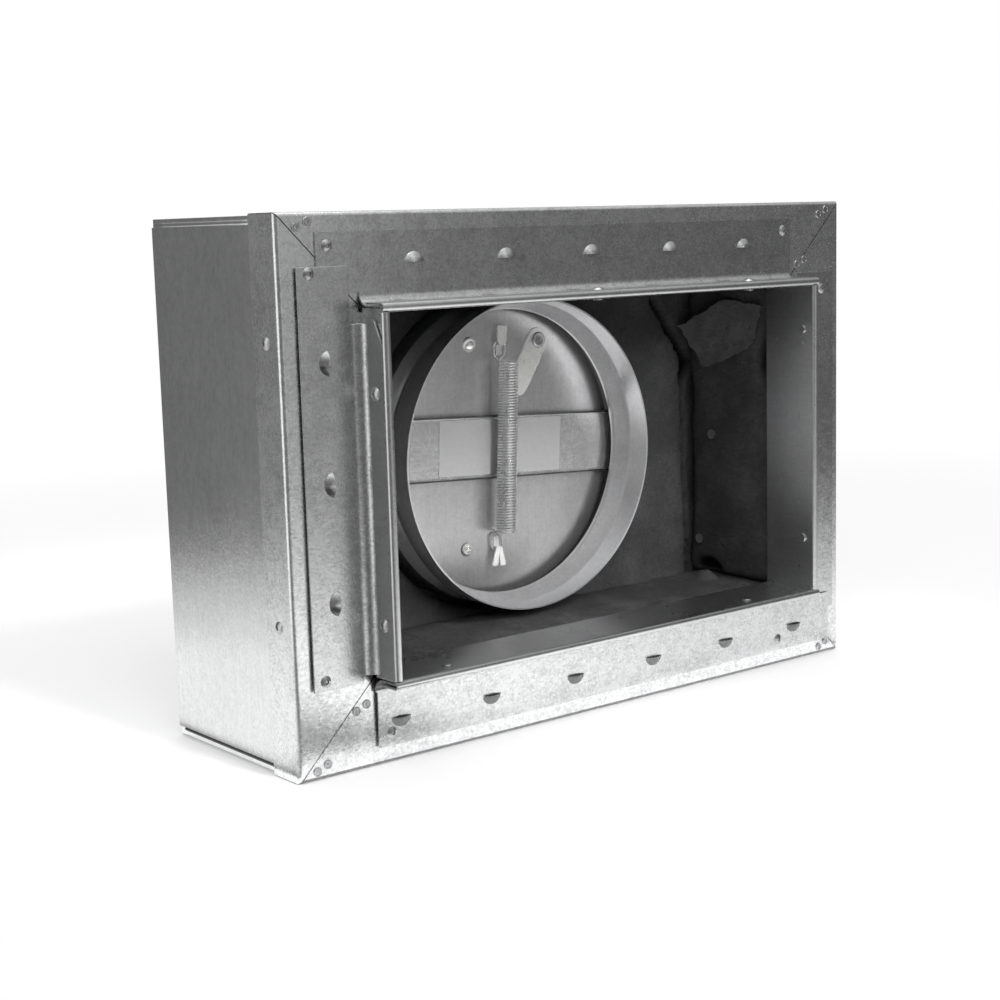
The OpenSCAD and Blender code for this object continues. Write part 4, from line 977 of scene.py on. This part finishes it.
class REGISTER_OT_liner(bpy.types.Operator):
    """Lays the uneven glass fibre boards, the board round the sleeve and the torn corner"""

    bl_idname = "register.liner"
    bl_label = "Liner"

    def board(self, s, node, inward, seed, presses=()):
        """One board as a soft slab; each press is a middle, a size, a shift about the middle of the face, and the share
        of the pit it makes that is painted nearly black as shade.
        """
        lo, hi = (np.array(corner[:]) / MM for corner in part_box(node))
        points, faces = soft_slab(lo, hi, 2.2, s.edge / MM, s.swell / MM, s.seed + seed, inward)
        torn = np.zeros(len(points))
        for middle, size, shift, mark in presses:
            moved = pressed(points, np.array(middle) + FACE_MIDDLE / MM, size, shift)
            # painted shade: the pits of the presses are painted nearly black by their share
            torn = np.maximum(torn, mark * np.linalg.norm(moved - points, axis=1) / np.linalg.norm(shift))
            points = moved
        piece = mesh_piece(node + "_board", points * MM, faces, finish("fibre_liner"), smooth_deg=180, painted_shade=torn)
        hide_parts(node)

    def execute(self, context):
        s = context.scene.liner_finish
        self.board(s, "liner_top", (0, 0, 1), 1)
        self.board(s, "liner_bottom", (0, 0, -1), 2, [((121, 51, -78), (5, 6, 6), (0, 0, 4.5), 0)])
        self.board(s, "liner_left", (-1, 0, 0), 3)
        self.board(s, "liner_right", (1, 0, 0), 4, [
            ((128, 16, 39), (6, 5, 11), (9, 0, 0), 1), ((128, 58, -77), (6, 9, 6), (6, 0, 3), 1),
            ((128, 71.6, 20), (7, 4, 14), (2, -1.5, 0), 0.5), ((128, 71.6, -30), (7, 3, 32), (2, -1.5, 0), 0.5)])
        self.back_board(s)
        self.torn_corner(s)
        return {"FINISHED"}

    def back_board(self, s):
        """Board round the sleeve: a section of rounded thickness carried from the hole to the outline by rays."""
        lo, hi = (np.array(corner[:]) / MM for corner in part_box("liner_back"))
        middle = (lo + hi) / 2
        half = (hi - lo) / 2
        hole, edge = 79.2, s.edge / MM
        a = np.linspace(0, 2 * math.pi, 600, endpoint=False)
        corner = math.atan2(half[2], half[0])
        for ray in (corner, math.pi - corner, math.pi + corner, 2 * math.pi - corner):
            a[np.argmin(np.abs(a - ray))] = ray
        outer = np.minimum(half[0] / np.maximum(np.abs(np.cos(a)), 1e-9), half[2] / np.maximum(np.abs(np.sin(a)), 1e-9))
        bend = arc((0, 0), edge, 180, 270, 5)
        across = np.linspace(0, 1, 62)
        depth_front = np.concatenate([bend[:, 1] + edge, np.zeros(60), bend[::-1, 1] + edge])
        inset = np.concatenate([bend[:, 0] + edge, edge * (1 - 2 * across[1:-1]), -(bend[::-1, 0] + edge)])
        share = np.concatenate([np.zeros(5), across[1:-1], np.ones(5)])
        depth = np.concatenate([depth_front, np.array([2 * half[1]] * 2)])
        share = np.concatenate([share, [1.0, 0.0]])
        inset = np.concatenate([inset, [0.0, 0.0]])
        radius = hole + share[:, None] * (outer[None, :] - hole) + inset[:, None]
        x = middle[0] + radius * np.cos(a)
        z = middle[2] + radius * np.sin(a)
        y = lo[1] + np.repeat(depth[:, None], len(a), axis=1)
        p = np.stack([x, y, z], axis=-1).reshape(-1, 3)
        sink = 0.5 + 0.5 * np.clip(0.75 * ripple(p, 46.0, s.seed + 9) + 0.35 * ripple(p, 13.0, s.seed + 10), -1, 1)
        front = np.repeat(depth < half[1], len(a))
        # painted shade: the tear is pushed back into the board and painted nearly black as the shade in it
        torn = self.tear(s, p) * front
        p[:, 1] += sink * s.swell / MM * front + 11 * torn
        faces = grid_faces(len(depth), len(a), wrap_rows=True, wrap_cols=True)
        piece = mesh_piece("liner_back_board", p * MM, faces, finish("fibre_liner"), smooth_deg=180, painted_shade=torn)
        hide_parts("liner_back")

    def tear(self, s, points):
        """Share from 0 to 1 of the open tear in the back board, a band beside a ragged line down its right side."""
        x, z = points[:, 0] - FACE_MIDDLE[0] / MM, points[:, 2] - FACE_MIDDLE[2] / MM
        line = np.interp(z, (-78, -50, -10, 28, 36, 53, 69), (128.6, 127.6, 125.8, 124.4, 126.3, 113.8, 103.0))
        width = np.interp(z, (-78, 20, 34, 50, 69), (2.2, 2.2, 8.0, 7.0, 6.0))
        line = line + 0.7 * ripple(points, 8.0, s.seed + 30)
        return ease((x - line) / 0.9) * ease((line + width - x) / 0.9) * ease((72 - z) / 4)

    def torn_corner(self, s):
        """Torn facing of the right board: a ragged sheet that curls off the wall towards the back, thick as felt.

        Rings shrink from the outline to the middle, on the front and on the back of the sheet.
        """
        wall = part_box("liner_flap")[1][0] / MM - 1.2
        corners = np.array([(70.6, 54.3), (40, 68.7), (16.6, 65.5), (20, 50), (27, 43), (53.5, 32.5)])
        t = np.linspace(0, len(corners), 160, endpoint=False)
        loop = np.concatenate([corners, corners[:1]])
        outline = np.stack([np.interp(t, np.arange(len(loop)), loop[:, k]) for k in (0, 1)], axis=1)
        middle = corners.mean(axis=0)
        reach = np.concatenate([np.linspace(0, 1, 18), np.linspace(1, 0, 18)])[:, None, None]
        flat = middle + reach * (outline - middle)
        p = np.concatenate([np.zeros(flat.shape[:2] + (1,)), flat], axis=2).reshape(-1, 3)
        rim = np.repeat(reach.ravel() ** 8, len(t))
        ragged = rim * (0.9 * ripple(p, 9.0, s.seed + 20) + 0.4 * ripple(p, 3.0, s.seed + 21))
        p[:, 1:] += ragged[:, None] * (p[:, 1:] - middle) / np.linalg.norm(outline - middle, axis=1).mean()
        curl = 6.0 * np.clip((p[:, 1] - 28) / 43, 0, 1) ** 1.6
        back = np.repeat(np.arange(36) >= 18, len(t))
        p[:, 0] = wall - curl + 0.4 * np.clip(ripple(p, 14.0, s.seed + 22), -1, 1) + 0.9 * back
        faces = grid_faces(36, len(t), wrap_cols=True)[:, ::-1]
        piece = mesh_piece("liner_torn_corner", in_row(p), faces, finish("fibre_core"), smooth_deg=60)
        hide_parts("liner_flap")


# Studio


class REGISTER_OT_studio(bpy.types.Operator):
    """Sets the camera, the pale floor, the grey studio wall that the metal mirrors, and the soft lamps"""

    bl_idname = "register.studio"
    bl_label = "Studio"

    def execute(self, context):
        s = context.scene.studio_setup
        self.camera(s)
        self.world()
        self.floor(s)
        self.wall(s)
        middle = Vector((0.0, 0.0, 0.11))
        self.lamp("key_lamp", (-0.7, -0.9, 1.5), middle, 1.1, 10.0)
        self.lamp("fill_lamp", (1.3, -1.1, 0.9), middle, 0.9, 5.0).visible_glossy = False
        self.lamp("top_lamp", (0.2, 0.5, 1.7), middle, 1.2, 8.0)
        opening = Vector((0.0, 0.0, 0.1))
        self.lamp("high_opening_lamp", (0.06, -1.0, 0.95), opening, 0.2, 56.0, "SPOT").visible_glossy = False
        self.lamp("low_opening_lamp", (0.05, -1.3, 0.6), opening, 0.2, 46.0, "SPOT").visible_glossy = False
        view = context.scene.view_settings
        view.view_transform = "Standard"
        return {"FINISHED"}

    def camera(self, s):
        data = bpy.data.cameras.new("camera")
        camera = bpy.data.objects.new("camera", data)
        bpy.context.scene.collection.objects.link(camera)
        forward, right = Vector(s.forward).normalized(), Vector(s.right).normalized()
        up = right.cross(forward)
        turn = Matrix((right, up, -forward)).transposed().to_4x4()
        camera.matrix_world = Matrix.Translation(Vector(s.camera)) @ turn
        data.sensor_width = 36.0
        data.sensor_fit = "HORIZONTAL"
        data.lens = s.lens
        data.clip_start, data.clip_end = 0.01, 50.0
        bpy.context.scene.camera = camera

    def world(self):
        world = bpy.data.worlds.new("studio_light")
        bpy.context.scene.world = world
        world.use_nodes = True
        world.node_tree.nodes.clear()
        w = Wiring(world.node_tree)
        path = w.node("ShaderNodeLightPath")
        shown = w.maths("MAXIMUM", path.outputs["Is Camera Ray"], path.outputs["Is Glossy Ray"])
        shown = w.maths("MAXIMUM", shown, path.outputs["Is Transmission Ray"])
        strength = w.spread(shown, 0.0, 1.0, 0.55, 1.0)
        back = w.node("ShaderNodeBackground", {"Color": (1, 1, 1, 1), "Strength": strength})
        leave = w.node("ShaderNodeOutputWorld")
        w.tree.links.new(back.outputs[0], leave.inputs["Surface"])

    def floor(self, s):
        material = bpy.data.materials.new("studio_floor")
        material.use_nodes = True
        material.node_tree.nodes.clear()
        w = Wiring(material.node_tree)
        path = w.node("ShaderNodeLightPath")
        mirrored = w.maths("MAXIMUM", path.outputs["Is Glossy Ray"], path.outputs["Is Transmission Ray"])
        shown = w.maths("MAXIMUM", path.outputs["Is Camera Ray"], mirrored)
        paint = w.node("ShaderNodeBsdfDiffuse", {"Color": (*s.floor, 1)})
        lift = w.maths("ADD", w.maths("MULTIPLY", shown, 0.06), w.maths("MULTIPLY", mirrored, 0.22))
        glow = w.node("ShaderNodeEmission", {"Color": (1, 1, 1, 1), "Strength": lift})
        near = w.node("ShaderNodeAddShader")
        w.tree.links.new(paint.outputs[0], near.inputs[0])
        w.tree.links.new(glow.outputs[0], near.inputs[1])
        far = w.node("ShaderNodeEmission", {"Color": (1, 1, 1, 1), "Strength": shown})
        place = w.node("ShaderNodeTexCoord").outputs["Object"]
        away = w.node("ShaderNodeVectorMath", {0: place}, operation="LENGTH").outputs["Value"]
        both = w.node("ShaderNodeMixShader", {0: w.spread(away, 0.45, 1.0)})
        w.tree.links.new(near.outputs[0], both.inputs[1])
        w.tree.links.new(far.outputs[0], both.inputs[2])
        leave = w.node("ShaderNodeOutputMaterial")
        w.tree.links.new(both.outputs[0], leave.inputs["Surface"])
        reach = 6.0
        corners = [(-reach, -reach, 0), (reach, -reach, 0), (reach, reach, 0), (-reach, reach, 0)]
        mesh_piece("studio_floor", corners, [(0, 1, 2, 3)], material, body=None)

    def wall(self, s):
        """Apron and wall of grey card round the object that only the metal mirrors.

        The rings follow the outline of the box at growing distances and then rise. The apron fades from white to
        grey with the distance from the box, and goes dark at the foot of the box as a painted contact shadow; the wall
        has the grey of its bearing, paler towards the top.
        """
        material = bpy.data.materials.new("studio_wall")
        material.use_nodes = True
        material.node_tree.nodes.clear()
        w = Wiring(material.node_tree)
        place = w.node("ShaderNodeTexCoord").outputs["Object"]
        parts = w.node("ShaderNodeSeparateXYZ", {0: place})
        bearing = w.maths("ARCTAN2", parts.outputs["Y"], parts.outputs["X"])
        turn = w.maths("FRACT", w.maths("ADD", w.maths("DIVIDE", bearing, 2 * math.pi), 1.0))
        ramp = w.node("ShaderNodeValToRGB", {"Fac": turn})
        stops = ramp.color_ramp.elements
        for degrees, _, _ in WALL_GREYS[1:-1]:
            stops.new(degrees / 360)
        for stop, (_, grey, white) in zip(stops, WALL_GREYS):
            stop.color = (grey, white / 2, 0, 1)
        out = w.node("ShaderNodeVectorMath", {0: place}, operation="ABSOLUTE").outputs[0]
        out = w.node("ShaderNodeVectorMath", {0: out, 1: (*BOX_HALF, 10.0)}, operation="SUBTRACT").outputs[0]
        out = w.node("ShaderNodeVectorMath", {0: out, 1: (0, 0, 0)}, operation="MAXIMUM").outputs[0]
        away = w.node("ShaderNodeVectorMath", {0: out}, operation="LENGTH").outputs["Value"]
        share = w.node("ShaderNodeSeparateColor", {0: ramp.outputs["Color"]})
        near = w.maths("MULTIPLY", w.spread(away, 0.11, 0.17, 1.0, 0.75), w.spread(away, 0.15, 0.6, 1.0, 0.0))
        # painted contact shadow: the apron is dark within about nine millimetres of the box
        near = w.maths("MULTIPLY", near, w.spread(away, 0.001, 0.009, 0.1, 1.0))
        near = w.maths("MULTIPLY", near, w.maths("MULTIPLY", share.outputs["Green"], 2.0))
        high = w.spread(parts.outputs["Z"], 0.4, 0.75, 0.0, s.high)
        grey = w.maths("MULTIPLY", share.outputs["Red"], w.spread(away, 0.1, 0.3))
        level = w.maths("ADD", w.maths("MAXIMUM", near, grey), high)
        glow = w.node("ShaderNodeEmission", {"Color": (*s.wall, 1), "Strength": level})
        leave = w.node("ShaderNodeOutputMaterial")
        w.tree.links.new(glow.outputs[0], leave.inputs["Surface"])
        a = np.radians(np.arange(1.5, 360, 3.0))
        rings = np.array([(0.002, 0.002), (0.08, 0.003), (0.2, 0.003), (s.wall_r, 0.003), (s.wall_r, 1.3)])
        outline = np.stack([BOX_HALF[0] * np.sign(np.cos(a)), BOX_HALF[1] * np.sign(np.sin(a))], axis=1)
        ring = outline[None] + rings[:, :1, None] * np.stack([np.cos(a), np.sin(a)], axis=1)[None]
        points = np.concatenate([ring, np.broadcast_to(rings[:, 1:, None], ring.shape[:2] + (1,))], axis=2)
        faces = grid_faces(len(rings), len(a), wrap_cols=True)
        wall = mesh_piece("studio_wall", points.reshape(-1, 3), faces, material, body=None)
        wall.visible_camera = False
        wall.visible_diffuse = False
        wall.visible_shadow = False
        wall.visible_transmission = False

    def lamp(self, name, place, target, size, power, kind="AREA"):
        data = bpy.data.lights.new(name, kind)
        data.energy = power
        if kind == "AREA":
            data.shape = "SQUARE"
            data.size = size
        else:
            data.shadow_soft_size = size
            data.spot_size = math.radians(17)
            data.spot_blend = 0.5
        lamp = bpy.data.objects.new(name, data)
        bpy.context.scene.collection.objects.link(lamp)
        way = target - Vector(place)
        lamp.matrix_world = Matrix.Translation(Vector(place)) @ way.to_track_quat("-Z", "Y").to_matrix().to_4x4()
        return lamp


class REGISTER_PT_panel(bpy.types.Panel):
    """Lists the pieces of the register box in the order in which they are made"""

    bl_idname = "REGISTER_PT_panel"
    bl_label = "Register box"
    bl_space_type = "VIEW_3D"
    bl_region_type = "UI"
    bl_category = "Register box"

    def draw(self, context):
        for operator in OPERATORS:
            self.layout.operator(operator.bl_idname)
        for group, _ in SETTINGS:
            box = self.layout.box()
            settings = getattr(context.scene, group)
            for key in settings.__annotations__:
                box.prop(settings, key)


OPERATORS = (
    REGISTER_OT_studio, REGISTER_OT_box, REGISTER_OT_face, REGISTER_OT_damper, REGISTER_OT_sleeve,
    REGISTER_OT_small_metal, REGISTER_OT_fasteners, REGISTER_OT_spring, REGISTER_OT_liner,
)
SETTINGS = (
    ("sheet_finish", SheetFinish), ("damper_finish", DamperFinish), ("spring_sizes", SpringSizes),
    ("liner_finish", LinerFinish), ("studio_setup", StudioSetup),
)


def register():
    for name, settings in SETTINGS:
        bpy.utils.register_class(settings)
        setattr(bpy.types.Scene, name, PointerProperty(type=settings))
    for operator in OPERATORS:
        bpy.utils.register_class(operator)
    bpy.utils.register_class(REGISTER_PT_panel)


def unregister():
    bpy.utils.unregister_class(REGISTER_PT_panel)
    for operator in reversed(OPERATORS):
        bpy.utils.unregister_class(operator)
    for name, settings in reversed(SETTINGS):
        delattr(bpy.types.Scene, name)
        bpy.utils.unregister_class(settings)


def main():
    register()
    for operator in OPERATORS:
        group, name = operator.bl_idname.split(".")
        getattr(getattr(bpy.ops, group), name)()


if __name__ == "__main__":
    main()
